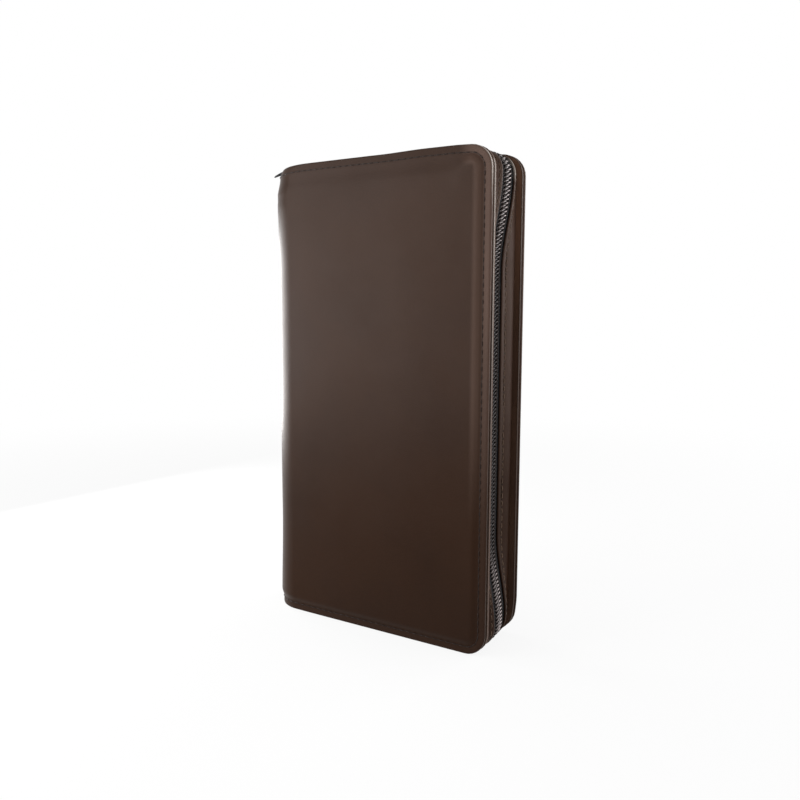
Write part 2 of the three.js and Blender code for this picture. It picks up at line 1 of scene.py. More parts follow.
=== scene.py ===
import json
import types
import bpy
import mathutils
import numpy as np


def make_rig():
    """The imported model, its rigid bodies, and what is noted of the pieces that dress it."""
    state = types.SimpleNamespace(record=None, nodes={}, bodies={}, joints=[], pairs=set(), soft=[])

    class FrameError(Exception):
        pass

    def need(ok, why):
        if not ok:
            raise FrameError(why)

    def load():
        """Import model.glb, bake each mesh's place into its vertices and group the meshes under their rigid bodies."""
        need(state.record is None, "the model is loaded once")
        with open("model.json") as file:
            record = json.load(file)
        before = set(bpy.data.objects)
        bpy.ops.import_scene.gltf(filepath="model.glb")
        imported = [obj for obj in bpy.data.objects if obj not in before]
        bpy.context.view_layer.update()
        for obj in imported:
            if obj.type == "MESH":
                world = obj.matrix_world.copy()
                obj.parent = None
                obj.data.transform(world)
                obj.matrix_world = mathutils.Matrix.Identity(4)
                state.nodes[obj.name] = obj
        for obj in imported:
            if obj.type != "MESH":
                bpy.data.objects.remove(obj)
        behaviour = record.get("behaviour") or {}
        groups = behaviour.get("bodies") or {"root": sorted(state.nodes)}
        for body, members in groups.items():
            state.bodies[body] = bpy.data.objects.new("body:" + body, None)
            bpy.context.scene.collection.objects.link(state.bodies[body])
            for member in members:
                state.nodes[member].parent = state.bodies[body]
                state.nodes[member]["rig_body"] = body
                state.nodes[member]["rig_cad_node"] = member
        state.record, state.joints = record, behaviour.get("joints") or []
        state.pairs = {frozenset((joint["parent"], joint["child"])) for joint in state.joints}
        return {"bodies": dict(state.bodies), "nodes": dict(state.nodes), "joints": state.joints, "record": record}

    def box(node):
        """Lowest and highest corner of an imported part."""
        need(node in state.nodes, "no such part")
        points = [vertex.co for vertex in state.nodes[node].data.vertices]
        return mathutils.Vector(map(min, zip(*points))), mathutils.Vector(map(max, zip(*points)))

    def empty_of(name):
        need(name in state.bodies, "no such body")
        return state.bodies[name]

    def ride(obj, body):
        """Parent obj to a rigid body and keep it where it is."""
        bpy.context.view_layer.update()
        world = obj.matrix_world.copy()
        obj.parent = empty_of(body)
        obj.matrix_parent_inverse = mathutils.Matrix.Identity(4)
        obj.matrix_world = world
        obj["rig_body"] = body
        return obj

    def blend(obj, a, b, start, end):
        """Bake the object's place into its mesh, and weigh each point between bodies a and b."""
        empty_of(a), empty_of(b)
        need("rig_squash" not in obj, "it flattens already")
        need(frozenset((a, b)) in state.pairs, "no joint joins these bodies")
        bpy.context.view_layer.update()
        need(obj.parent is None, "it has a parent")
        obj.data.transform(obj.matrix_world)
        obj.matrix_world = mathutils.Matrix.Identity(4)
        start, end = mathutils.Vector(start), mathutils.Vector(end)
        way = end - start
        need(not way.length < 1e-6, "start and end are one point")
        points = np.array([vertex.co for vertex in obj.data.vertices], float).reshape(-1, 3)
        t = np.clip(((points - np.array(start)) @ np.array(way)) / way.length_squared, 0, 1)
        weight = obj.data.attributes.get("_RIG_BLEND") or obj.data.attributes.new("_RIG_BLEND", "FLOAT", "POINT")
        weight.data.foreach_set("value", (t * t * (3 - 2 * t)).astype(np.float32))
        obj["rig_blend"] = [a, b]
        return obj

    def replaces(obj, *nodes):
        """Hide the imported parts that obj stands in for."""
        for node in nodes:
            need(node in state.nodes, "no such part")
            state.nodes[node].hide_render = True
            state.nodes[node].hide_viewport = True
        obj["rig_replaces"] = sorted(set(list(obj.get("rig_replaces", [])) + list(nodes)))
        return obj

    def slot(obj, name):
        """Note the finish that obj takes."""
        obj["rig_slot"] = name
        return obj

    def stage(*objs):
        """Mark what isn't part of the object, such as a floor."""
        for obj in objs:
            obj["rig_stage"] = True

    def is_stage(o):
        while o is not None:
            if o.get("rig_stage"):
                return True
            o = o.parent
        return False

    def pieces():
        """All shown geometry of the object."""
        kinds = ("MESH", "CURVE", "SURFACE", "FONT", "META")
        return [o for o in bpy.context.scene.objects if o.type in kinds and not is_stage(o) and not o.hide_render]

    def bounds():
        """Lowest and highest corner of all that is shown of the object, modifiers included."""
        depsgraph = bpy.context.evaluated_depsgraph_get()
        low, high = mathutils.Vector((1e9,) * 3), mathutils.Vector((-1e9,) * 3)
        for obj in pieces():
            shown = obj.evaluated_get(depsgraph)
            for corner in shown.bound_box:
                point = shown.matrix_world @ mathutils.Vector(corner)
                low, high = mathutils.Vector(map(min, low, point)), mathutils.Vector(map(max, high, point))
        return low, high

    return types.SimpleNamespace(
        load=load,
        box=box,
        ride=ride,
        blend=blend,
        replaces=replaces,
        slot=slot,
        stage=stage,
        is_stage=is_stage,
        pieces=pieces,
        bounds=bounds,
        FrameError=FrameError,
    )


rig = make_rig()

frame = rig.load()

import json
import math

import bmesh
import bpy
from bpy.props import FloatProperty, FloatVectorProperty, IntProperty, PointerProperty
from mathutils import Matrix, Vector, noise

bl_info = {
    "name": "Travel document organizer",
    "version": (1, 0, 0),
    "blender": (4, 5, 0),
    "location": "View3D > Sidebar > Organizer",
    "description": "Builds a zip-around leather travel organizer around its frame",
    "category": "Object",
}

MM = 0.001
SIZE_FILE = "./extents.json"

# Places that come from the frame, in metres
COVER_LOW, COVER_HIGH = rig.box("front_cover_leather")
SPINE_X, OPEN_X, HEIGHT = COVER_LOW.x, COVER_HIGH.x, COVER_HIGH.z
FIELD_Y = -COVER_LOW.y
BOARD_Y = -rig.box("front_core_board")[0].y
BOARD_INNER_Y = -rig.box("front_core_board")[1].y
LINING_Y = -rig.box("front_inner_leather")[0].y
LINING_INNER_Y = -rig.box("front_inner_leather")[1].y
WALL_Y = -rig.box("front_gusset")[0].y
ZIP_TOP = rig.box("back_zip_teeth")[1].z

# Sizes that the frame's pieces were built with
GLUE = 0.1 * MM
LEATHER = 1.5 * MM
OUTER_Y = BOARD_Y + GLUE + LEATHER
CORNER = 10 * MM
BOARD_INSET = 1.0 * MM
BOARD_BEVEL = 0.15 * MM
LINING_BEVEL = 0.4 * MM
STITCH_INSET = 3.4 * MM
PAD_HEIGHT = FIELD_Y - OUTER_Y
SPINE_LINING = 1.2 * MM
SPINE_LINING_INSET = 0.6 * MM
GUSSET = 1.15 * MM
GUSSET_BASE = 2.7 * MM
GUSSET_FLANGE = 6.5 * MM
GUSSET_EDGE = 5.9 * MM
GUSSET_PROUD = 0.2 * MM
GUSSET_SLACK = 0.35 * MM
WALL_BEND = (6.0 * MM, 11.3 * MM)
ZIP_INSET = HEIGHT - ZIP_TOP
ZIP_DRAW = 4.3 * MM
ZIP_REACH = 42 * MM
ZIP_SWAY = 1.8 * MM
WALL_START = SPINE_X + 0.3 * MM
TOOTH_PITCH = 1.8 * MM
TOOTH_DEPTH = 2.2 * MM
TAPE_DEPTH = GUSSET - GUSSET_PROUD + GLUE
TAPE_THICKNESS = 0.7 * MM
CORD_EDGE = 3.3 * MM
POCKET_ROUND = 4 * MM
POCKET_SEAM = 1.5 * MM
POCKET_LEATHER = 1.0 * MM
CARD_LEATHER = 0.8 * MM
CARD_SLOTS = 6
CARD_SLOT_STEP = 16 * MM
NOTCH_RADIUS = 13 * MM
NOTCH_DEPTH = 9.5 * MM
STOP_BEVEL = 0.28 * MM
POCKET_RISE = 1.1 * MM
HEM_DEPTH = 3 * MM
SPINE_BODIES = ("back", "spine_back", "spine_middle", "spine_front", "front")
SIDES = (("front", -1), ("back", 1))


def colour_setting(name, description, default):
    return FloatVectorProperty(name=name, description=description, subtype="COLOR", size=3,
                               default=default, min=0, max=1)


def length_setting(name, description, default, low, high):
    """A length that is given in millimetres and kept in metres."""
    return FloatProperty(name=name, description=description, unit="LENGTH",
                         default=default * MM, min=low * MM, max=high * MM)


def share_setting(name, description, default):
    return FloatProperty(name=name, description=description, subtype="FACTOR",
                         default=default, min=0, max=1)


def power_setting(name, place, default):
    return FloatProperty(name=name, description="Power of the " + place, unit="POWER",
                         default=default, min=0, max=200)


class LeatherSettings(bpy.types.PropertyGroup):
    """Colours and surface of the leathers"""

    colour: colour_setting("Colour", "The outer leather, in the middle of its range",
                           (0.0185, 0.0071, 0.0026))
    dark: colour_setting("Dark", "The outer leather where the dye is deepest",
                         (0.0136, 0.0051, 0.0019))
    # Edge is also the colour of painted highlights: on the covers' open-side margin and padding foot, partly on their
    # rims, on the front lining's edge and on the gussets' open side.
    edge: colour_setting("Edge", "The cut edges, burnished a shade paler than the face",
                         (0.075, 0.046, 0.035))
    # This colour serves only painted highlights: at the front cover's upper open corner, along the front lining's edge
    # and on the back gusset's fold.
    rubbed: colour_setting("Rubbed", "Edges rubbed down to the undyed leather",
                           (0.46, 0.41, 0.37))
    lining: colour_setting("Lining", "The inner leather", (0.070, 0.036, 0.022))
    roughness: share_setting("Roughness", "Roughness of the outer leather", 0.31)
    gloss: share_setting("Gloss", "Specular level of the outer leather", 0.118)
    gloss_tint: colour_setting("Gloss tint", "Tint of what the wax finish mirrors",
                               (1.0, 0.79, 0.71))
    pore: length_setting("Pore", "Distance between the pores of the grain", 0.55, 0.1, 5)


class CoverSettings(bpy.types.PropertyGroup):
    """Shape of the covers and the spine"""

    pad_reach: length_setting(
        "Pad reach", "How far the padded field takes to rise from the stitches", 3.8, 1, 20)
    stitch_dip: length_setting(
        "Stitch dip", "How deep the stitches draw the leather in", 0.22, 0, 1)
    spine_pinch: length_setting(
        "Spine pinch", "How far the ends of the spine are drawn in", 0.9, 0, 4)
    spine_lean: length_setting(
        "Spine lean", "How far the spine's edge leans in past its stitches", 1.6, 0, 4)
    crown: length_setting(
        "Crown", "How far the middle of a cover swells over its margins", 0.9, 0, 5)
    bow: length_setting(
        "Bow", "How far the covers' top edge bows up near its open corner", 0.85, 0, 3)
    spine_dip: length_setting(
        "Spine dip", "How far the spine's top edge sinks in its middle", 1.3, 0, 4)
    spine_flat: length_setting(
        "Spine flat", "How far the spine is pressed in at half its height", 0.8, 0, 4)
    ripple: length_setting("Ripple", "Height of the leather's slow waves", 0.10, 0, 1)
    step: length_setting("Step", "Distance between the points of the mesh", 2.0, 0.5, 10)


class StitchSettings(bpy.types.PropertyGroup):
    """The sewing thread"""

    # On the gussets the paler thread is a painted highlight for the light that the stitches catch.
    inner: colour_setting("Inner thread", "Colour of the thread on the gussets and the pockets",
                          (0.15, 0.098, 0.066))
    spacing: length_setting("Spacing", "Distance from one stitch to the next", 3.6, 1, 10)
    gap: length_setting("Gap", "Leather between two stitches", 0.9, 0, 5)
    thread: length_setting("Thread", "Thickness of the thread", 0.46, 0.1, 2)
    colour: colour_setting("Colour", "Colour of the thread on the covers", (0.009, 0.0045, 0.003))


class ZipSettings(bpy.types.PropertyGroup):
    """The zip's coil, tape and metal"""

    filament: length_setting("Filament", "Thickness of the coil's filament", 0.78, 0.2, 2)
    coil: colour_setting("Coil", "Colour of the metallised coil", (0.23, 0.195, 0.190))
    tape: colour_setting("Tape", "Colour of the woven tape", (0.012, 0.012, 0.013))
    metal: colour_setting("Metal", "Colour of the slider, its pull and the stops",
                          (0.20, 0.185, 0.19))
    coil_steps: IntProperty(
        name="Coil steps", description="Points along one turn of the coil",
        default=12, min=8, max=24)


class StageSettings(bpy.types.PropertyGroup):
    """Light, floor and camera"""

    key: power_setting("Key light", "softbox at the front left", 3.7)
    front: power_setting("Front light", "narrow softbox at the front", 0.65)
    rim: power_setting("Rim light", "low softbox at the left", 1.95)
    fill: power_setting("Fill light", "softbox at the right", 4.0)
    side: power_setting("Side light", "softbox at the front right", 1.0)
    back: power_setting("Back light", "softbox above and behind", 2.8)
    top: power_setting("Top light", "softbox overhead", 2.7)
    room: share_setting("Room", "Strength of the room's even light", 0.2)
    floor: colour_setting("Floor", "Colour of the floor", (0.85, 0.85, 0.85))
    lens: FloatProperty(
        name="Lens", description="Focal length of the camera",
        subtype="DISTANCE_CAMERA", unit="CAMERA", default=37.19, min=10, max=200)


class OrganizerSettings(bpy.types.PropertyGroup):
    """All of the organizer's settings"""

    leather: PointerProperty(type=LeatherSettings)
    cover: PointerProperty(type=CoverSettings)
    stitch: PointerProperty(type=StitchSettings)
    zip: PointerProperty(type=ZipSettings)
    stage: PointerProperty(type=StageSettings)


# Shader maths


class Value:
    """A socket of a node tree that can be used in Python expressions."""

    def __init__(self, nodes, socket):
        self.nodes = nodes
        self.socket = socket

    def math(self, operation, first, second=None):
        inputs = {0: first} if second is None else {0: first, 1: second}
        return self.nodes.node("ShaderNodeMath", inputs, operation=operation)

    def __add__(self, other):
        return self.math("ADD", self, other)

    __radd__ = __add__

    def __sub__(self, other):
        return self.math("SUBTRACT", self, other)

    def __rsub__(self, other):
        return self.math("SUBTRACT", other, self)

    def __mul__(self, other):
        return self.math("MULTIPLY", self, other)

    __rmul__ = __mul__

    def __abs__(self):
        return self.math("ABSOLUTE", self)

    def sine(self):
        return self.math("SINE", self)

    def larger(self, other):
        return self.math("MAXIMUM", self, other)


class Finish:
    """The nodes of one new material or world. node() makes them, and end() or out() closes."""

    def __init__(self, name, kind="materials"):
        self.owner = getattr(bpy.data, kind).new(name)
        self.owner.use_nodes = True
        self.tree = self.owner.node_tree
        self.tree.nodes.clear()

    def node(self, kind, inputs=None, output=0, **settings):
        """Makes a node, sets it, fills its sockets and gives one output as a Value."""
        made = self.tree.nodes.new(kind)
        for key, value in settings.items():
            setattr(made, key, value)
        for key, value in (inputs or {}).items():
            if isinstance(value, Value):
                self.tree.links.new(value.socket, made.inputs[key])
            elif made.inputs[key].type == "RGBA":
                made.inputs[key].default_value = (*value, 1)
            else:
                made.inputs[key].default_value = value
        return None if output is None else Value(self, made.outputs[output])

    def place(self):
        return self.node("ShaderNodeTexCoord", output="Object")

    def mark(self, axis):
        """A length that the mesh carries: along its line, across it, or in from the edge."""
        marks = self.node("ShaderNodeAttribute", output="Vector", attribute_name="marks")
        return self.node("ShaderNodeSeparateXYZ", {0: marks}, output=axis)

    def phase(self, axis, length):
        """The angle of a wave of this length along or across a line that the mesh carries."""
        return self.mark(axis) * (2 * math.pi / length)

    def axis(self, name):
        """The place along one axis of the frame."""
        return self.node("ShaderNodeSeparateXYZ", {0: self.place()}, output=name)

    def clouds(self, size, detail=2.0, roughness=0.5):
        """Soft noise whose patches are about this size, from 0 to 1."""
        return self.node("ShaderNodeTexNoise", {
            "Vector": self.place(), "Scale": 1 / size, "Detail": detail,
            "Roughness": roughness})

    def cells(self, size):
        """Rounded cells of about this size: 0 in the middle of each, higher at its border."""
        return self.node("ShaderNodeTexVoronoi", {"Vector": self.place(), "Scale": 1 / size},
                         feature="F1")

    def band(self, value, low, high):
        """0 below low, 1 above high, and smooth between."""
        return self.node("ShaderNodeMapRange", {
            0: value, 1: low, 2: high, 3: 0.0, 4: 1.0}, interpolation_type="SMOOTHSTEP")

    def along(self, axis, low, high):
        """0 below one place along an axis of the frame, 1 above the other, smooth between."""
        return self.band(self.axis(axis), low, high)

    def between(self, value, rise, fall):
        """1 between two bands and 0 outside them."""
        return self.band(value, *rise) * (1 - self.band(value, *fall))

    def front(self):
        """1 in front of the zip's middle line, 0 behind it."""
        return 1 - self.along("Y", 0.0, 1 * MM)

    def dyed(self, size, fade, share, first, second):
        """The first colour with soft patches of the second, of about this size. fade says how
        sharp the patches are, and share how strong."""
        patches = self.band(self.clouds(size, 3), *fade)
        return self.mix(patches * share, first, second)

    def mix(self, factor, first, second):
        return self.node("ShaderNodeMix", {0: factor, 6: first, 7: second}, output=2,
                         data_type="RGBA")

    def bump(self, height, depth):
        return self.node("ShaderNodeBump", {"Height": height, "Distance": depth, "Strength": 1.0})

    def seen(self):
        """1 for what is seen, mirrored or looked through at, 0 for the light that it throws."""
        camera, glossy, through = (
            self.node("ShaderNodeLightPath", output=f"Is {kind} Ray")
            for kind in ("Camera", "Glossy", "Transmission"))
        return camera.larger(glossy).larger(through)

    def end(self, **sockets):
        """The surface, from the sockets of the principled shader."""
        names = {key.replace("_", " ").title(): value for key, value in sockets.items()}
        names = {key.replace("Ior", "IOR"): value for key, value in names.items()}
        return self.out(self.node("ShaderNodeBsdfPrincipled", names, output="BSDF"))

    def out(self, surface, kind="Material"):
        """Links the surface to the output and gives the material or world."""
        self.node(f"ShaderNodeOutput{kind}", {"Surface": surface}, output=None)
        return self.owner


# Where the looks change, in from a leather's rim or along an axis of the frame. A pair is where
# a change starts and where it is complete; two pairs are where a band starts and where it ends
MARGIN_FADE = (STITCH_INSET * 0.8, STITCH_INSET * 1.5)
PADDING_FOOT_HIGHLIGHT = ((3.8 * MM, 5.4 * MM), (6.6 * MM, 9.5 * MM))
RIM_RUB_AND_HIGHLIGHT = (0.1 * MM, 0.9 * MM)
HIGHLIGHT_RIM = (0.02 * MM, 0.3 * MM)
LINING_RIM = (0.05 * MM, 0.6 * MM)
POCKET_RIM = (0.05 * MM, 0.5 * MM)
COVER_HIGHLIGHT_X, COVER_HIGHLIGHT_Z = (51 * MM, 59 * MM), (50 * MM, 130 * MM)
COVER_HIGHLIGHT_RISE_Z = (120 * MM, 170 * MM)
CORNER_HIGHLIGHT_X, CORNER_HIGHLIGHT_Z = (46 * MM, 58 * MM), (200 * MM, 222 * MM)
LINING_HIGHLIGHT_X, LINING_HIGHLIGHT_Z = (OPEN_X - 6 * MM, OPEN_X - 3 * MM), (130 * MM, 210 * MM)
# Where the painted highlight line along the front lining's edge lies
LINING_OUTER_Y = (LINING_Y - 0.75 * MM, LINING_Y - 0.55 * MM)
LINING_SIDE_X = (OPEN_X - 1.2 * MM, OPEN_X - 0.6 * MM)
LINING_LINE_HIGHLIGHT_Z = (70 * MM, 200 * MM)
GUSSET_HIGHLIGHT_X, GUSSET_HIGHLIGHT_Z = (48 * MM, 56 * MM), (50 * MM, 160 * MM)
FOLD_HIGHLIGHT_X = (56 * MM, 58 * MM)
FOLD_HIGHLIGHT_Y = ((5 * MM, 6.5 * MM), (9 * MM, 11 * MM))
FOLD_HIGHLIGHT_Z = ((212 * MM, 216.5 * MM), (221 * MM, 224.5 * MM))
COIL_SHADE_X = (OPEN_X - 7 * MM, OPEN_X - 3.5 * MM)
COIL_SIDE_X = (OPEN_X - 14 * MM, OPEN_X - 11 * MM)
COIL_FRONT_SHADE_Y = (-0.6 * MM, 0.5 * MM)
COIL_MIDDLE_SHADE_Z = ((30 * MM, 50 * MM), (165 * MM, 195 * MM))
INNER_THREAD_Y = ((4.5 * MM, 5.5 * MM), (10 * MM, 12 * MM))

# Colours that aren't settings
# Painted shade of the needle holes
HOLE_SHADE = (0.001, 0.0006, 0.0005)
BOARD_DARK, BOARD_PALE = (0.010, 0.008, 0.007), (0.035, 0.026, 0.021)


def shade(colour, share):
    """A darker or paler shade of a colour."""
    return tuple(share * part for part in colour)


def outer_leather(settings):
    """Smooth, semi-gloss leather with a fine grain, darker along the stitched margin. Towards the open side its margin
    and the foot of its padding are painted paler as a highlight, more so higher up; its rim takes the pale edge colour
    in patchy rub marks and as a painted highlight, strongest on the open side and the front cover, and a painted
    highlight lines the rim at the front cover's upper open corner."""
    look = Finish("outer_leather")
    inset, front = look.mark("Z"), look.front()
    margin = 1 - look.band(inset, *MARGIN_FADE)
    colour = look.dyed(45 * MM, (0.35, 0.7), 0.7, settings.colour, settings.dark)
    colour = look.mix(margin * 0.35, colour, settings.dark)
    # Painted highlight: on the open side the stitched margin, more so higher up, and the foot of the front cover's
    # padding take the pale edge colour, where light falls on them.
    open_side_highlight = look.along("X", *COVER_HIGHLIGHT_X) * look.along("Z", *COVER_HIGHLIGHT_Z)
    upper = look.along("Z", *COVER_HIGHLIGHT_RISE_Z)
    padding_foot_highlight = look.between(inset, *PADDING_FOOT_HIGHLIGHT)
    light = margin * (0.5 + 0.35 * upper) + padding_foot_highlight * front * 0.7
    colour = look.mix(light * open_side_highlight, colour, settings.edge)
    # The rim takes the pale edge colour in patchy rub marks, and partly as a painted highlight, stronger on the open
    # side and on the front cover.
    rub = look.band(look.clouds(4 * MM, 4, 0.6), 0.4, 0.75)
    rim = (1 - look.band(inset, *RIM_RUB_AND_HIGHLIGHT)) * (0.3 + 0.7 * open_side_highlight)
    colour = look.mix(rim * (0.4 + 0.4 * rub) * (0.2 + 0.6 * front), colour, settings.edge)
    # Painted highlight: a thin pale line along the rim at the front cover's upper open corner.
    corner = look.along("X", *CORNER_HIGHLIGHT_X) * look.along("Z", *CORNER_HIGHLIGHT_Z)
    painted_highlight = 1 - look.band(inset, *HIGHLIGHT_RIM)
    colour = look.mix(painted_highlight * corner * front * 0.8, colour, settings.rubbed)
    pores = look.band(look.cells(settings.pore), 0.15, 0.75)
    fine = look.clouds(settings.pore * 0.5, 2)
    rough = settings.roughness + 0.12 * (look.clouds(12 * MM, 3) - 0.5)
    rough = rough + 0.06 * fine + 0.1 * margin
    return look.end(base_color=colour, roughness=rough, specular_ior_level=settings.gloss,
                    specular_tint=tuple(settings.gloss_tint),
                    normal=look.bump(pores * 0.7 + fine * 0.5, 0.018 * MM))


def lining_leather(settings):
    """Matt, printed calf lining. Its edges take the outer leather's colour at the back and the pale edge colour at the
    front as a painted highlight; at the open side its margin is painted paler as a highlight, and a painted highlight
    line runs along the front lining's edge, more so higher up.
    """
    look = Finish("lining_leather")
    lining = settings.lining
    colour = look.dyed(30 * MM, (0.3, 0.75), 0.6, lining, shade(lining, 0.6))
    # Painted highlight: high on the open side the lining's margin is painted much paler, for light mirrored there.
    margin = look.along("X", *LINING_HIGHLIGHT_X) * look.along("Z", *LINING_HIGHLIGHT_Z)
    colour = look.mix(margin * 0.9, colour, shade(lining, 2.2))
    # The edge takes the outer leather's colour behind the zip's middle line and the pale edge colour in front of it, a
    # painted highlight on the front lining's rounded edge.
    edge = 1 - look.band(look.mark("Z"), *LINING_RIM)
    burnished = look.mix(look.front(), settings.colour, settings.edge)
    colour = look.mix(edge * 0.85, colour, burnished)
    # Painted highlight: a pale line along the front lining's outer edge at the open side, stronger higher up.
    outer = look.band(0 - look.axis("Y"), *LINING_OUTER_Y)
    side = look.along("X", *LINING_SIDE_X)
    high = 0.1 + 0.9 * look.along("Z", *LINING_LINE_HIGHLIGHT_Z)
    colour = look.mix(edge * outer * side * high * 0.65, colour, settings.rubbed)
    return look.end(base_color=colour, roughness=0.55 + 0.1 * look.clouds(6 * MM),
                    specular_ior_level=settings.gloss,
                    normal=look.bump(look.cells(0.7 * MM), 0.03 * MM))


def pocket_leather(settings):
    """Thin leather of the pockets, a shade lighter than the lining."""
    look = Finish("pocket_leather")
    colour = look.dyed(25 * MM, (0.3, 0.75), 0.5, shade(settings.lining, 1.35), settings.lining)
    edge = 1 - look.band(look.mark("Z"), *POCKET_RIM)
    colour = look.mix(edge * 0.5, colour, settings.dark)
    return look.end(base_color=colour, roughness=0.48 + 0.1 * look.clouds(6 * MM),
                    specular_ior_level=settings.gloss,
                    normal=look.bump(look.cells(0.6 * MM), 0.025 * MM))


def gusset_leather(settings):
    """The wall's leather: as the covers', less glossy, painted paler on the open side, more so higher up, as lighting,
    and with a painted highlight on the back gusset's fold at the upper corner."""
    look = Finish("gusset_leather")
    colour = look.dyed(20 * MM, (0.3, 0.75), 0.6, settings.colour, settings.dark)
    # Painted light: the open side of the wall is painted paler, more so higher up, where more light falls.
    open_side_highlight = look.along("Z", *GUSSET_HIGHLIGHT_Z) * look.along("X", *GUSSET_HIGHLIGHT_X)
    colour = look.mix(open_side_highlight * 0.45, colour, settings.edge)
    # Painted highlight: a pale patch, broken up by noise, on the back gusset's fold at the upper corner.
    corner = look.between(look.axis("Z"), *FOLD_HIGHLIGHT_Z)
    fold = look.between(look.axis("Y"), *FOLD_HIGHLIGHT_Y)
    painted_highlight = corner * fold * look.along("X", *FOLD_HIGHLIGHT_X)
    colour = look.mix(painted_highlight * (0.4 + 0.5 * look.clouds(2 * MM)), colour, settings.rubbed)
    grain = look.cells(settings.pore) * 0.7 + look.clouds(0.25 * MM) * 0.5
    return look.end(base_color=colour, roughness=0.4 + 0.12 * look.clouds(8 * MM),
                    specular_ior_level=settings.gloss, specular_tint=tuple(settings.gloss_tint),
                    normal=look.bump(grain, 0.02 * MM))


def core_board(_):
    """Dark fibreboard between the leathers."""
    look = Finish("core_board")
    fibre = look.clouds(0.4 * MM, 4, 0.7)
    colour = look.mix(fibre, BOARD_DARK, BOARD_PALE)
    return look.end(base_color=colour, roughness=0.85, normal=look.bump(fibre, 0.05 * MM))


def woven_tape(settings):
    """Herringbone tape, woven along and across it."""
    look = Finish("woven_tape")
    along, across = look.phase("X", 0.9 * MM), look.phase("Y", 0.62 * MM)
    weave = (along + abs((across * 0.25).sine()) * 3.0).sine() * 0.5 + across.sine() * 0.5
    colour = look.mix(0.5 + 0.5 * weave, settings.tape, shade(settings.tape, 2.2))
    return look.end(base_color=colour, roughness=0.9, specular_ior_level=0.2,
                    normal=look.bump(weave, 0.07 * MM))


def metallised_coil(settings):
    """Plastic coil with a thin gunmetal skin, with painted shade: dark where it is drawn in along the open side,
    darkest at mid height there, where it is also duller, and darker in front of the zip's middle line."""
    look = Finish("metallised_coil")
    metal = settings.coil
    tone = look.clouds(3 * MM, 3)
    colour = look.mix(tone, metal, shade(metal, 0.62))
    # Painted shade: the coil is darkened where it is drawn in along the open side, in the shade of the covers' edges.
    deep = 1 - look.along("X", *COIL_SHADE_X)
    side = look.along("X", *COIL_SIDE_X)
    colour = look.mix(deep * side * 0.85, colour, shade(metal, 0.15))
    # Painted shade: the front row of the coil is darkened.
    front = 1 - look.along("Y", *COIL_FRONT_SHADE_Y)
    colour = look.mix(front * 0.75, colour, shade(metal, 0.25))
    # Painted shade: at mid height on the open side the coil is darkened further; it is also made rougher there.
    middle_shade = look.between(look.axis("Z"), *COIL_MIDDLE_SHADE_Z) * side
    colour = look.mix(middle_shade * 0.8, colour, shade(metal, 0.05))
    return look.end(base_color=colour, metallic=0.85,
                    roughness=0.24 + 0.16 * tone + 0.2 * middle_shade)


def gunmetal(settings):
    """Plated metal with a fine brushed finish."""
    look = Finish("gunmetal")
    tone = look.clouds(2 * MM, 4)
    colour = look.mix(tone, settings.metal, shade(settings.metal, 0.7))
    return look.end(base_color=colour, metallic=1.0, roughness=0.2 + 0.15 * tone,
                    normal=look.bump(tone, 0.008 * MM))


def sewing_thread(settings):
    """Waxed, twisted thread, paler on the gussets, where the paleness is a painted highlight, and on the pockets, with
    painted black for the shade in the needle holes.
    """
    look = Finish("sewing_thread")
    twist = (look.phase("X", 0.7 * MM) + look.mark("Y")).sine()
    colour = look.mix(0.5 + 0.5 * twist, settings.colour, shade(settings.colour, 1.8))
    # Painted highlight: between these distances from the middle line the thread is paler, standing in for the light
    # caught by the gussets' stitches; the pockets' threads there take it too.
    inside = look.between(abs(look.axis("Y")), *INNER_THREAD_Y)
    colour = look.mix(inside * 0.8, colour, settings.inner)
    # Painted shade: the needle holes' slots are near black.
    colour = look.mix(look.mark("Z"), HOLE_SHADE, colour)
    return look.end(base_color=colour, roughness=0.6, specular_ior_level=0.2,
                    normal=look.bump(twist, 0.04 * MM))


def ribbed_elastic(settings):
    """Woven elastic with ribs along it."""
    look = Finish("ribbed_elastic")
    ribs, weave = look.phase("Y", 1.1 * MM).sine(), look.phase("X", 0.5 * MM).sine()
    colour = look.mix(0.5 + 0.35 * ribs + 0.15 * weave, settings.dark,
                      shade(settings.lining, 0.9))
    return look.end(base_color=colour, roughness=0.8, sheen_weight=0.2,
                    normal=look.bump(ribs * 0.7 + weave * 0.3, 0.09 * MM))


FINISHES = {
    "leather": (outer_leather, "leather"),
    "lining_leather": (lining_leather, "leather"),
    "pocket_leather": (pocket_leather, "leather"),
    "gusset_leather": (gusset_leather, "leather"),
    "board": (core_board, "leather"),
    "zip_tape": (woven_tape, "zip"),
    "zip_teeth": (metallised_coil, "zip"),
    "gunmetal": (gunmetal, "zip"),
    "elastic": (ribbed_elastic, "leather"),
    "thread": (sewing_thread, "stitch"),
}
made_finishes = {}


def finish_for(name):
    """The material of a finish, made once."""
    if name not in made_finishes:
        make, group = FINISHES[name]
        made_finishes[name] = make(getattr(bpy.context.scene.organizer, group))
    return made_finishes[name]


# Forms


def smooth(value):
    """0 up to 0, 1 from 1, and smooth between."""
    t = min(max(value, 0.0), 1.0)
    return t * t * (3 - 2 * t)


def spread(count, low=0.0, high=1.0):
    """Evenly spaced numbers, both ends included."""
    return [low + (high - low) * i / (count - 1) for i in range(count)]


def waves(point, size, seed=0.0):
    """Slow noise from about -1 to 1 whose waves are about this size."""
    return noise.noise(Vector(point) / size + Vector((seed, 2 * seed, -seed)))


PLAIN_MARK = (0.0, 0.0, 1.0)
EDGE_MARK = (0.0, 0.0, 0.0)
MERGE_DISTANCE = 1e-6
BEVEL_ANGLE = math.radians(60)
SHARP_ANGLE = math.radians(50)


def marked(points, mark=PLAIN_MARK):
    """Places that all carry the same mark."""
    return [(point, mark) for point in points]


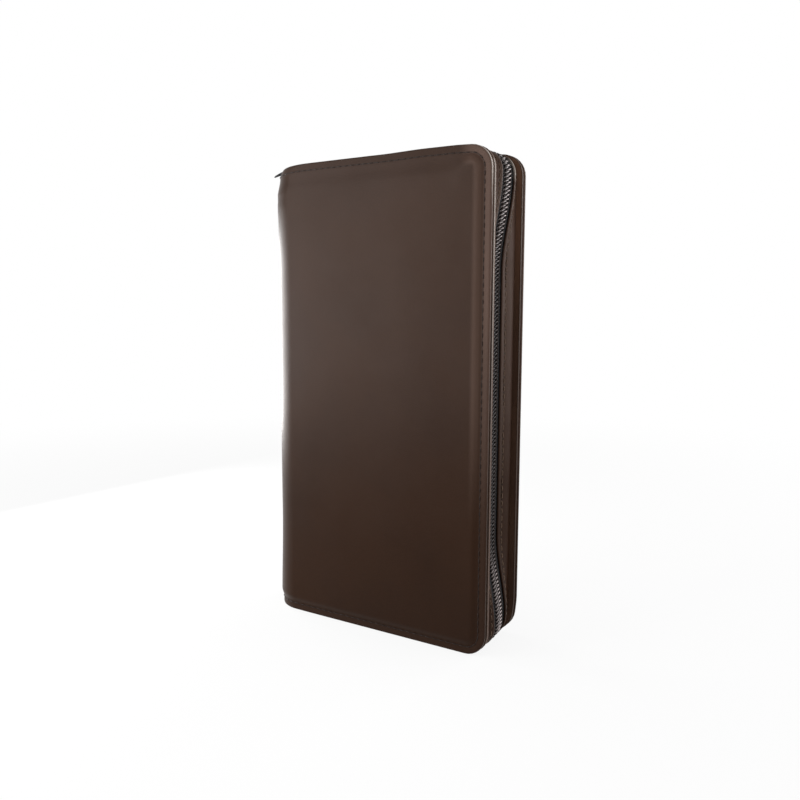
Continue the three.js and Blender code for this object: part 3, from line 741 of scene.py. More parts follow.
class Form:
    """Points, faces and marks of one piece, gathered before its mesh is made. A place is a
    point with its mark, the three lengths or shares that the finish reads."""

    def __init__(self, bevel=0.0):
        self.points, self.marks, self.faces = [], [], []
        self.bevel = bevel

    def row(self, places):
        """Adds a row of places and gives their indices."""
        first = len(self.points)
        self.points += [tuple(point) for point, _ in places]
        self.marks += [mark for _, mark in places]
        return list(range(first, len(self.points)))

    def skin(self, rows, closed=False):
        """Quads between rows of the same length, which may be closed rings."""
        for first, second in zip(rows, rows[1:]):
            count = len(first)
            for i in range(count if closed else count - 1):
                j = (i + 1) % count
                self.faces.append((first[i], second[i], second[j], first[j]))

    def loft(self, sections):
        """A closed tube with capped ends, through sections of the same number of places."""
        rows = [self.row(places) for places in sections]
        self.skin(rows, closed=True)
        self.faces.append(tuple(rows[0]))
        self.faces.append(tuple(reversed(rows[-1])))

    def strand(self, path, radii, sides=8):
        """A round strand along a path, with its radius at each point."""
        path = [Vector(point) for point in path]
        steps = [(b - a).normalized() for a, b in zip(path, path[1:])]
        ways = [steps[0], *[(a + b).normalized() for a, b in zip(steps, steps[1:])], steps[-1]]
        side = ways[0].orthogonal().normalized()
        turns = [2 * math.pi * i / sides for i in range(sides)]
        sections, along = [], 0.0
        for k, (point, way) in enumerate(zip(path, ways)):
            side = (side - way * side.dot(way)).normalized()
            up = way.cross(side)
            if k:
                along += (point - path[k - 1]).length
            sections.append([(point + radii[k] * (side * math.cos(t) + up * math.sin(t)),
                              (along, t, 1.0)) for t in turns])
        self.loft(sections)

    def stamped(self, outlines, low, high, soft):
        """A plate cut to outlines in X and Y, in millimetres, between two heights, with its
        edges rounded by soft. An outline inside another one is a hole."""
        curve = bpy.data.curves.new("stamped", "CURVE")
        curve.dimensions, curve.fill_mode = "2D", "BOTH"
        curve.extrude = (high - low) / 2 - soft
        curve.bevel_depth, curve.bevel_resolution, curve.offset = soft, 2, -soft
        for outline in outlines:
            line = curve.splines.new("POLY")
            line.points.add(len(outline) - 1)
            for point, (x, y) in zip(line.points, outline):
                point.co = (x, y, 0, 1)
            line.use_cyclic_u = True
        shape = bpy.data.objects.new("stamped", curve)
        bpy.context.scene.collection.objects.link(shape)
        bpy.context.view_layer.update()
        mesh = bpy.data.meshes.new_from_object(
            shape.evaluated_get(bpy.context.evaluated_depsgraph_get()))
        rise = (low + high) / 2
        row = self.row(marked([(point.co.x * MM, point.co.y * MM, (point.co.z + rise) * MM)
                               for point in mesh.vertices]))
        self.faces += [tuple(row[i] for i in face.vertices) for face in mesh.polygons]
        bpy.data.objects.remove(shape)
        bpy.data.curves.remove(curve)
        bpy.data.meshes.remove(mesh)

    def piece(self, name, finish, slot=None):
        """The finished object, with shared points merged and its faces turned outwards."""
        mesh = bpy.data.meshes.new(name)
        mesh.from_pydata(self.points, [], self.faces)
        layer = mesh.attributes.new("marks", "FLOAT_VECTOR", "POINT")
        layer.data.foreach_set("vector", [part for mark in self.marks for part in mark])
        gathered = bmesh.new()
        gathered.from_mesh(mesh)
        bmesh.ops.remove_doubles(gathered, verts=gathered.verts, dist=MERGE_DISTANCE)
        if self.bevel:
            edges = [edge for edge in gathered.edges
                     if len(edge.link_faces) == 2 and edge.calc_face_angle() > BEVEL_ANGLE]
            bmesh.ops.bevel(gathered, geom=edges, offset=self.bevel, segments=3, profile=0.5,
                            affect="EDGES", clamp_overlap=True)
        bmesh.ops.recalc_face_normals(gathered, faces=gathered.faces)
        gathered.to_mesh(mesh)
        gathered.free()
        mesh.shade_smooth()
        mesh.set_sharp_from_angle(angle=SHARP_ANGLE)
        mesh.materials.append(finish_for(finish))
        made = bpy.data.objects.new(name, mesh)
        bpy.context.scene.collection.objects.link(made)
        if slot or finish in frame_slots():
            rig.slot(made, slot or finish)
        return made


def frame_slots():
    """The slots that the frame's materials are listed under."""
    return [material["slot"] for material in frame["record"]["materials"]]


class Outline:
    """A rectangle that is open at its start and has two rounded corners at its end. It is
    followed along the low side, round the corners and back along the high side. A station
    is a stretch of it and a share of that stretch."""

    def __init__(self, start, end, low, high, corner):
        self.start, self.end = start, end
        self.low, self.high, self.corner = low, high, corner

    def moved(self, start):
        return Outline(start, self.end, self.low, self.high, self.corner)

    def at(self, station, inset):
        """The station's place along and across the rectangle, moved in by inset."""
        stretch, share = station
        radius = max(self.corner - inset, 0.0)
        centre = inset + radius
        run_end = self.end - centre
        if stretch == "low run":
            return self.start + (run_end - self.start) * share, self.low + inset
        if stretch == "high run":
            return run_end + (self.start - run_end) * share, self.high - inset
        if stretch == "side":
            tall = self.high - self.low - 2 * centre
            return self.end - inset, self.low + centre + tall * share
        turn = share * math.pi / 2
        if stretch == "low corner":
            return (run_end + radius * math.sin(turn),
                    self.low + centre - radius * math.cos(turn))
        return run_end + radius * math.cos(turn), self.high - centre + radius * math.sin(turn)

    def lengths(self, inset):
        radius = max(self.corner - inset, 0.0)
        centre = inset + radius
        run, corner = self.end - centre - self.start, radius * math.pi / 2
        side = self.high - self.low - 2 * centre
        return [("low run", run), ("low corner", corner), ("side", side),
                ("high corner", corner), ("high run", run)]

    def length(self, inset):
        return sum(length for _, length in self.lengths(inset))

    def stations(self, step):
        """Stations about a step apart, each with the length to it."""
        found, before = [(("low run", 0.0), 0.0)], 0.0
        for stretch, length in self.lengths(0.0):
            count = max(round(length / step), 1)
            for i in range(count):
                share = (i + 1) / count
                found.append(((stretch, share), before + length * share))
            before += length
        return found

    def station_at(self, distance, inset):
        for stretch, length in self.lengths(inset):
            if distance <= length or stretch == "high run":
                return stretch, distance / length
            distance -= length
        raise ValueError("no stretch of the outline holds this distance")

    def field(self, inset, step):
        """The places along and across of the grid inside the rings."""
        found = [station for station, _ in self.stations(step)]
        along = [self.at(station, inset)[0] for station in found if station[0] == "low run"]
        across = [self.at(station, inset)[1] for station in found
                  if station == ("low corner", 1.0) or station[0] == "side"]
        return along, across


def surface(form, shape, insets, step, point):
    """Rings round an outline and a grid inside the last one. point gives the point and mark
    for a ring's number, its inset, the place along and across, and the length round.
    Returns the first ring and the chain of points along the outline's open start."""
    rings = [form.row([point(k, inset, *shape.at(station, inset), length)
                       for station, length in shape.stations(step)])
             for k, inset in enumerate(insets)]
    form.skin(rings)
    last, inset = len(insets) - 1, insets[-1]
    along, across = shape.field(inset, step)
    field = [form.row([point(last, inset, a, b, 0.0) for a in along]) for b in across]
    form.skin(field)
    chain = [row[0] for row in rings + field[1:-1]] + [row[-1] for row in reversed(rings)]
    return rings[0], chain


def close_flat(form, row):
    """Closes a flat face inside an open ring, in strips between its lower and upper halves."""
    last = len(row) - 1
    for i in range(len(row) // 2):
        a, b, c, d = row[i], row[i + 1], row[last - i - 1], row[last - i]
        if b == c:
            form.faces.append((a, b, d))
        elif b != d and a != c:
            form.faces.append((a, b, c, d))


SHEET_RIM = 0.6 * MM


def flat_sheet(shape, face, thickness, side, cover, bevel, inset=0.0):
    """A flat leather or board in a cover, from its outer face inwards."""
    form = Form(bevel)
    rows = []
    for level in (face, face - thickness):
        for far in (0.0, SHEET_RIM):
            places = [shape.at(station, inset + far) for station, _ in shape.stations(cover.step)]
            rows.append(form.row(marked([settled(x, side * level, z, cover) for x, z in places],
                                        (0.0, 0.0, far))))
    rows[:2] = reversed(rows[:2])
    form.skin(rows)
    close_flat(form, rows[0])
    close_flat(form, rows[3])
    form.faces.append((*[row[0] for row in rows], *[row[-1] for row in reversed(rows)]))
    return form


SPINE_LAP = 3 * MM
COVER = Outline(SPINE_X, OPEN_X, 0.0, HEIGHT, CORNER)
COVER_PAST_LAP = COVER.moved(SPINE_X + SPINE_LAP)
WALL = COVER.moved(WALL_START)

CORNER_EASE = 1.5 * MM
CORNER_REACH = 17 * MM
EASE_START = 10 * MM
EASE_WIDTH = 26 * MM
EASE_SHARE = 0.85


def eased(x, y, z):
    """How far the lower open corner is rounded off further, inwards and up, at a place. It
    grows from nothing at the front cover to its full size at the back."""
    middle = CORNER * (1 - math.sqrt(0.5))
    away = math.hypot(OPEN_X - middle - x, z - middle)
    share = EASE_SHARE * smooth((y + EASE_START) / EASE_WIDTH)
    return CORNER_EASE * share * smooth(1 - away / CORNER_REACH)


def drawn_in(z):
    """How far the side of the zip is drawn in at a height: 0 at the corners, 1 between."""
    above, straight = z - CORNER, HEIGHT - 2 * CORNER
    return smooth(above / ZIP_REACH) * smooth((straight - above) / ZIP_REACH)


def wall_point(station, y, depth):
    """A point y from the zip's middle line and depth below the wall's surface."""
    z = WALL.at(station, ZIP_INSET)[1]
    draw = drawn_in(z) if station[0] == "side" else 0.0
    share = 1 - smooth((abs(y) - WALL_BEND[0]) / (WALL_BEND[1] - WALL_BEND[0]))
    inset = GUSSET_BASE + (ZIP_INSET + ZIP_DRAW * draw - GUSSET_BASE) * share + depth
    x, z = WALL.at(station, inset)
    ease = eased(x, y, z)
    return x - ease, y - ZIP_SWAY * draw * share, z + ease


def wall_out(station, y):
    """The way out of the wall at a station."""
    return (Vector(wall_point(station, y, -MM)) - Vector(wall_point(station, y, MM))).normalized()


# The outer leather's surface: how far its shapes reach, and how strong their parts are
PINCH_REACH = 12 * MM
LOWER_PINCH = 0.15
SLOPE_TOP = 26 * MM
SLOPE_END = 59 * MM
SLOPE_FADE = 12 * MM
CROWN_REACH = 45 * MM
CROWN_EASE = 10 * MM
LONG_WAVE, LONG_SEED = 38 * MM, 3.1
SHORT_WAVE, SHORT_SEED, SHORT_SHARE = 14 * MM, 7.7, 0.35
TOP_REACH = 40 * MM
TOP_EASE = 8 * MM
BOW_RISE = 62 * MM
BOW_START, BOW_WIDTH, BOW_LEAST = 10 * MM, 25 * MM, 0.35
BOW_FALL, BOW_FALL_WIDTH, BOW_LOSS = 48 * MM, 18 * MM, 0.6


def pinch_at(x):
    """How much the ends of the wrap are drawn in: 0 on the covers, 1 on the spine."""
    return smooth((SPINE_X + PINCH_REACH - x) / (PINCH_REACH + OUTER_Y))


def leather_level(inset, x, z, cover):
    """How far the leather stands over the flat margin, at an inset from the edge."""
    pinch = pinch_at(x) * (LOWER_PINCH + (1 - LOWER_PINCH) * smooth(2 * z / HEIGHT - 0.5))
    low = -cover.stitch_dip - pinch * cover.spine_pinch
    if inset < STITCH_INSET:
        share = inset / STITCH_INSET
        lean = pinch * (cover.spine_pinch + cover.spine_lean * (1 - share))
        return -cover.stitch_dip * smooth(share * 1.2 - 0.2) - lean
    gentle = 2.0 * smooth((z - HEIGHT + SLOPE_TOP) / SLOPE_FADE)
    gentle *= smooth((SLOPE_END - x) / SLOPE_FADE)
    rise = smooth((inset - STITCH_INSET) / (cover.pad_reach * (1 + max(1.4 * pinch, gentle))))
    return low + (PAD_HEIGHT - low) * rise


def slow_shape(point, inset, cover):
    """The crown of the covers, the flat of the spine and the leather's waves at a point."""
    x, _, z = point
    low_end, high_end = (z - STITCH_INSET) / CROWN_REACH, (HEIGHT - STITCH_INSET - z) / CROWN_REACH
    ends = smooth(low_end) * smooth(high_end)
    sides = smooth((OPEN_X - STITCH_INSET - x) / CROWN_REACH)
    sides *= smooth((x - SPINE_X + CROWN_EASE) / CROWN_REACH)
    crown = cover.crown * ends * sides - cover.spine_flat * ends * pinch_at(x)
    fade = smooth((inset - STITCH_INSET) / CROWN_EASE)
    slow = waves(point, LONG_WAVE, LONG_SEED)
    slow += SHORT_SHARE * waves(point, SHORT_WAVE, SHORT_SEED)
    return crown + cover.ripple * slow * fade


def top_shift(x, z, cover):
    """How far the covers' and the spine's upper part is moved up at a place."""
    share = smooth((z - HEIGHT + TOP_REACH) / TOP_REACH)
    bow = cover.bow * smooth((x - SPINE_X + TOP_EASE) / BOW_RISE)
    bow *= BOW_LEAST + (1 - BOW_LEAST) * smooth((x - BOW_START) / BOW_WIDTH)
    bow *= 1 - BOW_LOSS * smooth((x - BOW_FALL) / BOW_FALL_WIDTH)
    dip = cover.spine_dip * smooth((SPINE_X + TOP_EASE - x) / (TOP_EASE + OUTER_Y))
    return share * (bow - dip)


def settled(x, y, z, cover):
    """A place of a cover, moved with its top edge and its lower open corner."""
    ease = eased(x, y, z)
    return x - ease, y, z + ease + top_shift(x, z, cover)


# Rounded edge of the outer leather: inset and level, from its inner to its outer face
LEATHER_EDGE = [
    (0.45 * MM, -1.50 * MM), (0.18 * MM, -1.43 * MM), (0.04 * MM, -1.25 * MM), (0.0, -0.95 * MM),
    (0.0, -0.60 * MM), (0.07 * MM, -0.30 * MM), (0.25 * MM, -0.10 * MM), (0.55 * MM, 0.0)]
EDGE_HIDDEN = 3
FACE_INSETS = [inset * MM for inset in (
    1.0, 1.6, 2.2, 2.7, 3.0, 3.2, 3.4, 3.6, 3.8, 4.2, 4.7, 5.3, 6.0, 6.8, 7.6, 8.4, 9.2, 10.4,
    12.0)]
LEATHER_INSETS = [inset for inset, _ in LEATHER_EDGE] + FACE_INSETS


def ring_level(k, x, z, cover):
    """The level of one ring of the outer leather at a place along the wrap."""
    if k < len(LEATHER_EDGE):
        return LEATHER_EDGE[k][1] + leather_level(0.0, x, z, cover)
    return leather_level(LEATHER_INSETS[k], x, z, cover)


def edge_mark(k, inset):
    """The inset that a ring carries for the finish: 0 on the rings inside the edge."""
    return inset if k >= EDGE_HIDDEN else 0.0


def cover_skin(side, cover):
    """One cover's outer leather, with a rounded edge, a stitched margin and a padded field."""
    form = Form()

    def point(k, inset, x, z, length):
        level = ring_level(k, x, z, cover) + slow_shape((x, side * OUTER_Y, z), inset, cover)
        return settled(x, side * (OUTER_Y + level), z, cover), (length, 0.0, edge_mark(k, inset))

    ring, chain = surface(form, COVER_PAST_LAP, LEATHER_INSETS, cover.step, point)
    close_flat(form, ring)
    form.faces.append(tuple(chain))
    return form


def wrap_place(u, radius, z):
    """A point of the wrap. u is the angle round the spine, from 0 at the back cover to pi at
    the front, and past either end the length along the flat cover."""
    if u < 0:
        return SPINE_X - u, radius, z
    if u > math.pi:
        return SPINE_X + (u - math.pi), -radius, z
    return SPINE_X - radius * math.sin(u), radius * math.cos(u), z


PART_EDGES = [-SPINE_LAP, math.pi / 6, math.pi / 2, 5 * math.pi / 6, math.pi + SPINE_LAP]
PARTS = range(len(PART_EDGES) - 1)
WRAP_STEP = math.radians(3)
WRAP_END = math.radians(0.25)


def wrap_stops(part):
    """The places along the wrap at which one of its four skins has a section."""
    low, high = max(PART_EDGES[part], 0.0), min(PART_EDGES[part + 1], math.pi)
    count = round((high - low) / WRAP_STEP) + 1
    inner_stops = spread(count, low, high)[1:-1]
    stops = [low, low + WRAP_END, *inner_stops, high - WRAP_END, high]
    lap = [SPINE_LAP, SPINE_LAP - 0.1 * MM, SPINE_LAP / 2]
    if part == 0:
        stops = [*(-length for length in lap), *stops]
    if part == 3:
        stops = [*stops, *(math.pi + length for length in reversed(lap))]
    return stops


INNER_HEIGHTS = [inset * MM for inset in (1.0, 1.8, 2.6, 3.4, 4.4, 5.6, 7.0, 9.0, 12.0)]
INNER_HEIGHTS += spread(30, 18 * MM, HEIGHT / 2)
INNER_HEIGHTS += [HEIGHT - z for z in reversed(INNER_HEIGHTS[:-1])]


def inner_lean(u, x, z, cover):
    """How far the layers inside the spine's leather follow its ends inwards."""
    turn = math.pi / 6
    share = smooth(u / turn) * smooth((math.pi - u) / turn)
    return share * min(leather_level(min(z, HEIGHT - z), x, z, cover), 0.0)


def wrap_section(u, cover):
    """The closed section of the outer leather at a place along the wrap."""
    x = wrap_place(u, OUTER_Y, 0.0)[0]
    rings = [(k, inset, edge_mark(k, inset)) for k, inset in enumerate(LEATHER_INSETS)]
    last, inset = len(LEATHER_INSETS) - 1, LEATHER_INSETS[-1]
    heights = COVER_PAST_LAP.field(inset, cover.step)[1][1:-1]
    chain = rings + [(last, z, inset) for z in heights]
    chain += [(k, HEIGHT - z, mark) for k, z, mark in reversed(rings)]
    places = []
    for k, z, mark in chain:
        level = ring_level(k, x, z, cover)
        level += slow_shape(wrap_place(u, OUTER_Y, z), min(z, HEIGHT - z, inset), cover)
        places.append((wrap_place(u, OUTER_Y + level, z + top_shift(x, z, cover)),
                       (u * OUTER_Y, 0.0, mark)))
    for z in reversed(INNER_HEIGHTS):
        level = inner_lean(u, x, z, cover) - LEATHER
        places.append((wrap_place(u, OUTER_Y + level, z + top_shift(x, z, cover)),
                       (u * OUTER_Y, 0.0, 0.0)))
    return places


def blend_part(made, part):
    """Hangs one of the spine's four parts between the bodies that it joins."""
    first, last = (Vector(wrap_place(PART_EDGES[part + k], OUTER_Y, 0.0)) for k in (0, 1))
    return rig.blend(made, SPINE_BODIES[part], SPINE_BODIES[part + 1], start=first, end=last)


def part_nodes(kind, part):
    """The frame's nodes that one of the spine's four parts stands for."""
    return [f"{kind}_{word}" for word in (("back",), ("middle",), ("front",), ())[part]]


LINING_EDGE = 0.35 * MM
LINING_SLACK, LINING_WAVE, LINING_FADE = 0.16 * MM, 7 * MM, 8 * MM


def lining_section(u, cover):
    """The closed section of the spine's lining, with a little slack in its middle."""
    x = wrap_place(u, OUTER_Y, 0.0)[0]
    outer = OUTER_Y - LEATHER - GLUE
    inner = outer - SPINE_LINING
    low, high = SPINE_LINING_INSET, HEIGHT - SPINE_LINING_INSET
    chain = [(inner + LINING_EDGE, low), (outer - LINING_EDGE, low)]
    chain += [(outer, z) for z in INNER_HEIGHTS]
    chain += [(outer - LINING_EDGE, high), (inner + LINING_EDGE, high)]
    chain += [(inner, z) for z in reversed(INNER_HEIGHTS)]
    places = []
    for radius, z in chain:
        free = smooth((z - low) / LINING_FADE) * smooth((high - z) / LINING_FADE)
        slack = LINING_SLACK * free * waves((u * outer, 0.0, z * 0.12), LINING_WAVE, 2.0)
        radius += slack if radius == inner else 0.0
        radius += inner_lean(u, x, z, cover)
        places.append((wrap_place(u, radius, z + top_shift(x, z, cover)),
                       (u * outer, 0.0, min(z - low, high - z))))
    return places


# Gussets, tapes and coil


WALL_STEP = 1.6 * MM
WALL_WAVE = 17 * MM
FREE_LEATHER = (6 * MM, 12.4 * MM)
FREE_FADE = 2 * MM


def loft_along(section, side, wave=0.0):
    """A solid along the wall through sections of (y, depth), with waves in its free middle."""
    form = Form()
    sections = []
    for station, length in WALL.stations(WALL_STEP):
        places = []
        for y, depth in section:
            free = smooth((y - FREE_LEATHER[0]) / FREE_FADE)
            free *= smooth((FREE_LEATHER[1] - y) / FREE_FADE)
            slack = wave * free * waves((length, side * y * 2, 0.0), WALL_WAVE, 5.0)
            places.append((wall_point(station, side * y, depth + slack), (length, y, 1.0)))
        sections.append(places)
    form.loft(sections)
    return form


def round_turn(centre, radius, start, end, count):
    """Points of an arc, with angles in degrees."""
    return [(centre[0] + radius * math.cos(math.radians(t)),
             centre[1] + radius * math.sin(math.radians(t))) for t in spread(count, start, end)]


GUSSET_STITCH = 7.9 * MM


def gusset_section():
    """The leather from its fold beside the zip to its flange inside the cover."""
    outer, inner = -GUSSET_PROUD, GUSSET - GUSSET_PROUD
    half = GUSSET / 2
    soft = 1.0 * MM
    groove = [(GUSSET_STITCH + 0.7 * MM, outer), (GUSSET_STITCH + 0.3 * MM, outer + 0.08 * MM),
              (GUSSET_STITCH, outer + 0.16 * MM), (GUSSET_STITCH - 0.3 * MM, outer + 0.08 * MM),
              (GUSSET_STITCH - 0.7 * MM, outer)]
    section = [(WALL_Y, GUSSET_FLANGE), (WALL_Y, 4 * MM), (WALL_Y, 2 * MM)]
    section += round_turn((WALL_Y - soft, outer + soft), soft, 0, -90, 6)
    section += [(y * MM, outer) for y in (11.4, 10.8, 10.1, 9.4)] + groove
    section += [(6.85 * MM, outer)]
    section += round_turn((GUSSET_EDGE + half, outer + half), half, -90, -270, 9)
    section += [(y * MM, inner) for y in (6.9, 7.6, 8.6, 9.6, 10.6)]
    section += [(WALL_Y - GUSSET - 0.4 * MM, inner), (WALL_Y - GUSSET, inner + 0.4 * MM),
                (WALL_Y - GUSSET, GUSSET_FLANGE)]
    return section


def tape_section():
    """The woven tape, with a thicker hem under the coil's cord."""
    top, low = TAPE_DEPTH, TAPE_DEPTH + TAPE_THICKNESS
    start = CORD_EDGE - 1.2 * MM
    section = [(y * MM, top) for y in (9.4, 8.4, 7.4, 6.4, 5.6, 4.9, 4.4)]
    section += [(4.0 * MM, top - 0.18 * MM), (3.6 * MM, top - 0.18 * MM), (3.3 * MM, top)]
    section += [(start, top + 0.15 * MM), (start, low)]
    section += [(y * MM, low) for y in (3.4, 4.4, 5.6, 6.4, 7.4, 8.4, 9.4)]
    return section


CHAIN_INSET = ZIP_INSET + TOOTH_DEPTH / 2
CHAIN_START = 3.7 * MM
CHAIN_END = 10.0 * MM
CHAIN_TURNS = int((WALL.length(CHAIN_INSET) - CHAIN_START - CHAIN_END) / TOOTH_PITCH)
# The two rows lean alike, so the heads of one are moved to lie between the other's
COIL_MESH = 0.45
COIL_HEAD = -0.62 * MM
COIL_ROOT = 2.95 * MM
COIL_LEG = 0.36
BINDING_ROWS = (2.2 * MM, 2.75 * MM)
BINDING_THREAD = 0.19 * MM


def chain_point(pitches, y, depth):
    """A point of the zip, by the number of pitches from the start of its rows."""
    distance = CHAIN_START + pitches * TOOTH_PITCH
    return wall_point(WALL.station_at(distance, CHAIN_INSET), y, depth)


def coil_turn(filament, steps):
    """One turn of the coil, from root round to root: shares of a pitch along, y, depth and
    the filament's radius, which is pressed wider on the leg that shows."""
    radius = filament / 2
    low, high, middle = radius, TOOTH_DEPTH - radius, TOOTH_DEPTH / 2
    near, root = COIL_HEAD * 0.3, COIL_ROOT
    turn = []
    for i in range(steps):
        t = i / steps
        if t < COIL_LEG:
            share = t / COIL_LEG
            wide = radius * (1 + 0.22 * math.sin(math.pi * share))
            turn.append((-0.42 + 0.56 * share, root + (near - root) * share, low, wide))
        elif t < 0.5:
            turn.append((0.2, COIL_HEAD, middle, radius))
        elif t < 0.5 + COIL_LEG:
            share = (t - 0.5) / COIL_LEG
            turn.append((0.22 + 0.06 * share, near + (root - near) * share, high, radius))
        else:
            turn.append((0.43, root + 0.28 * MM, middle, radius))
    return turn


def coil(side, offset, settings):
    """One row of the zip: a filament wound in flattened turns, from end to end."""
    form = Form()
    path, radii = [], []
    for k in range(CHAIN_TURNS):
        for share, y, depth, radius in coil_turn(settings.filament, settings.coil_steps):
            place = k + share if side < 0 else CHAIN_TURNS - 1 - k - share
            path.append(chain_point(place + COIL_MESH + offset, side * y, depth))
            radii.append(radius)
    form.strand(path, radii)
    return form


def coil_binding(side, offset):
    """The thread that sews the coil to its tape, over each leg and down between them."""
    form = Form()
    for y in BINDING_ROWS:
        path = [chain_point(k + offset + share, side * y, depth * MM)
                for k in range(CHAIN_TURNS)
                for share, depth in ((-0.2, -0.02), (0.05, 0.05), (0.3, 0.55), (0.55, 0.05))]
        form.strand(path, [BINDING_THREAD] * len(path), sides=6)
    return form


# Sewing


def sew(form, place, length, settings, start=0.0):
    """A row of stitches. place gives the point and the way out at a distance."""
    count = max(round(length / settings.spacing), 1)
    spacing = length / count
    radius = settings.thread / 2
    for k in range(count):
        low = start + k * spacing + settings.gap / 2
        high = start + (k + 1) * spacing - settings.gap / 2
        path, radii = [], []
        for share in spread(7):
            point, out = place(low + (high - low) * share)
            rise = 1 - (2 * share - 1) ** 4
            path.append(Vector(point) + Vector(out) * radius * (1.5 * rise - 1.0))
            radii.append(radius * (0.62 + 0.38 * rise))
        form.strand(path, radii, sides=6)
        needle_hole(form, place, high + settings.gap / 2, settings)


# A needle hole's lift and depth in millimetres, its half length as a share of the gap between
# two stitches and its half width as a share of the thread
HOLE_LIFT, HOLE_DEPTH = 0.03, 0.1
HOLE_LENGTH, HOLE_WIDTH = 0.42, 0.48


def needle_hole(form, place, distance, settings):
    """The dark slot between two stitches, a hair above the leather that it is pierced in, painted near black for the
    shade in the hole.
    """
    point, out = place(distance)
    after = place(distance + settings.gap / 2)[0]
    out = Vector(out).normalized()
    way = (Vector(after) - Vector(point)).normalized()
    across = out.cross(way)
    middle = Vector(point) + out * HOLE_LIFT * MM
    rim = [middle + way * math.cos(turn) * settings.gap * HOLE_LENGTH
           + across * math.sin(turn) * settings.thread * HOLE_WIDTH
           for turn in spread(9, 0, 2 * math.pi)[:-1]]
    bottom = [point - out * HOLE_DEPTH * MM for point in rim]
    form.loft([marked(rim, EDGE_MARK), marked(bottom, EDGE_MARK)])


def cover_seam(side, cover):
    """The stitch line of a cover: a function of the distance along it, and its length."""
    shape = COVER_PAST_LAP

    def place(distance):
        x, z = shape.at(shape.station_at(distance, STITCH_INSET), STITCH_INSET)
        level = leather_level(STITCH_INSET, x, z, cover)
        return settled(x, side * (OUTER_Y + level), z, cover), (0, side, 0)

    return place, shape.length(STITCH_INSET)


def wrap_seam(z, cover):
    """The stitch line across the spine at a height, by the length along the wrap."""

    def place(distance):
        length = distance - SPINE_LAP
        u = length if length < 0 else length / OUTER_Y
        if u > math.pi:
            u = math.pi + (length - math.pi * OUTER_Y)
        x = wrap_place(u, OUTER_Y, z)[0]
        level = leather_level(STITCH_INSET, x, z, cover)
        point = wrap_place(u, OUTER_Y + level, z + top_shift(x, z, cover))
        turn = min(max(u, 0.0), math.pi)
        return point, (-math.sin(turn), math.cos(turn), 0)

    return place


def wrap_length(u):
    """The length along the wrap to a place on it."""
    if u < 0:
        return SPINE_LAP + u
    if u > math.pi:
        return SPINE_LAP + math.pi * OUTER_Y + (u - math.pi)
    return SPINE_LAP + u * OUTER_Y


def wall_seam(side, y):
    """The stitch line of a gusset, like the one of a cover."""
    depth = -GUSSET_PROUD + 0.12 * MM

    def place(distance):
        station = WALL.station_at(distance, GUSSET_BASE)
        return wall_point(station, side * y, depth), wall_out(station, side * y)

    return place, WALL.length(GUSSET_BASE)


# Zip hardware, in millimetres like the stamped plates


def in_mm(node):
    """A node's lowest and highest corners in millimetres."""
    return [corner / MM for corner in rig.box(node)]


SLIDER_NOSE, SLIDER_TAIL, SLIDER_ROUND = 4.6, 4.3, 2.2
SLIDER_PLATE, SLIDER_RIM, SLIDER_CLEAR = 1.0, 0.8, 0.25
POST_LENGTH, POST_HALF = 3.0, 1.0
BRIDGE_LENGTH, BRIDGE_HALF, BRIDGE_THICK = 7.0, 1.1, 0.7
BRIDGE_BEND, BRIDGE_SOFT, PLATE_SOFT = 0.6, 0.2, 0.28
PULL_BAR, PULL_GAP, PULL_ARM, PULL_HALF, PULL_HOLE = 0.9, 0.15, 1.2, 3.4, 1.6


def stop(node):
    """A metal clamp pressed over the tape's cord, with rounded edges."""
    form = Form(bevel=STOP_BEVEL)
    low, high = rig.box(node)
    corners = [(low.x, low.y), (high.x, low.y), (high.x, high.y), (low.x, high.y)]
    form.loft([marked([(x, y, z) for x, y in corners]) for z in (low.z, high.z)])
    return form


def slider_outline(start, end):
    """The slider's plate from above: a round nose and sides that draw in to the tail."""
    side = [(start + SLIDER_ROUND, SLIDER_NOSE), (end - 0.6, SLIDER_TAIL),
            (end, SLIDER_TAIL - 0.6)]
    nose = []
    for t in spread(9)[:-1]:
        x = start + SLIDER_ROUND * t * t
        nose.append((x, POST_HALF * (1 - t) ** 2 + SLIDER_NOSE * (1 - (1 - t) ** 2)))
    half = nose + side
    return half + [(x, -y) for x, y in reversed(half)]


def slider():
    """Two plates with rims, the post between the rows of teeth and the bridge for the pull."""
    form = Form()
    low, high = in_mm("zip_slider")
    start, end = low.x, high.x
    zip_top = ZIP_TOP / MM
    upper = zip_top + SLIDER_CLEAR
    lower = zip_top - TOOTH_DEPTH / MM - SLIDER_CLEAR
    tape = zip_top - TAPE_DEPTH / MM
    for level in (upper, lower - SLIDER_PLATE):
        form.stamped([slider_outline(start, end)], level, level + SLIDER_PLATE, PLATE_SOFT)
    inner = SLIDER_TAIL - SLIDER_RIM
    for side in (-1, 1):
        rim = [(start + 1.2, inner), (end - 0.25, inner), (end - 0.25, SLIDER_TAIL - 0.15),
               (start + SLIDER_ROUND, SLIDER_NOSE - 0.15), (start + 1.2, SLIDER_NOSE - 0.5)]
        rim = [(x, side * y) for x, y in rim]
        form.stamped([rim], tape + SLIDER_CLEAR, upper + 0.3, 0.12)
        form.stamped([rim], lower - 0.3, tape - TAPE_THICKNESS / MM - SLIDER_CLEAR, 0.12)
    post = [(start + 0.1, -POST_HALF * 0.6), (start + POST_LENGTH * 0.4, -POST_HALF),
            (start + POST_LENGTH, 0.0), (start + POST_LENGTH * 0.4, POST_HALF),
            (start + 0.1, POST_HALF * 0.6)]
    form.stamped([post], lower - 0.3, upper + 0.3, 0.1)
    bridge(form, (start + end) / 2, upper + SLIDER_PLATE, high.z)
    return form


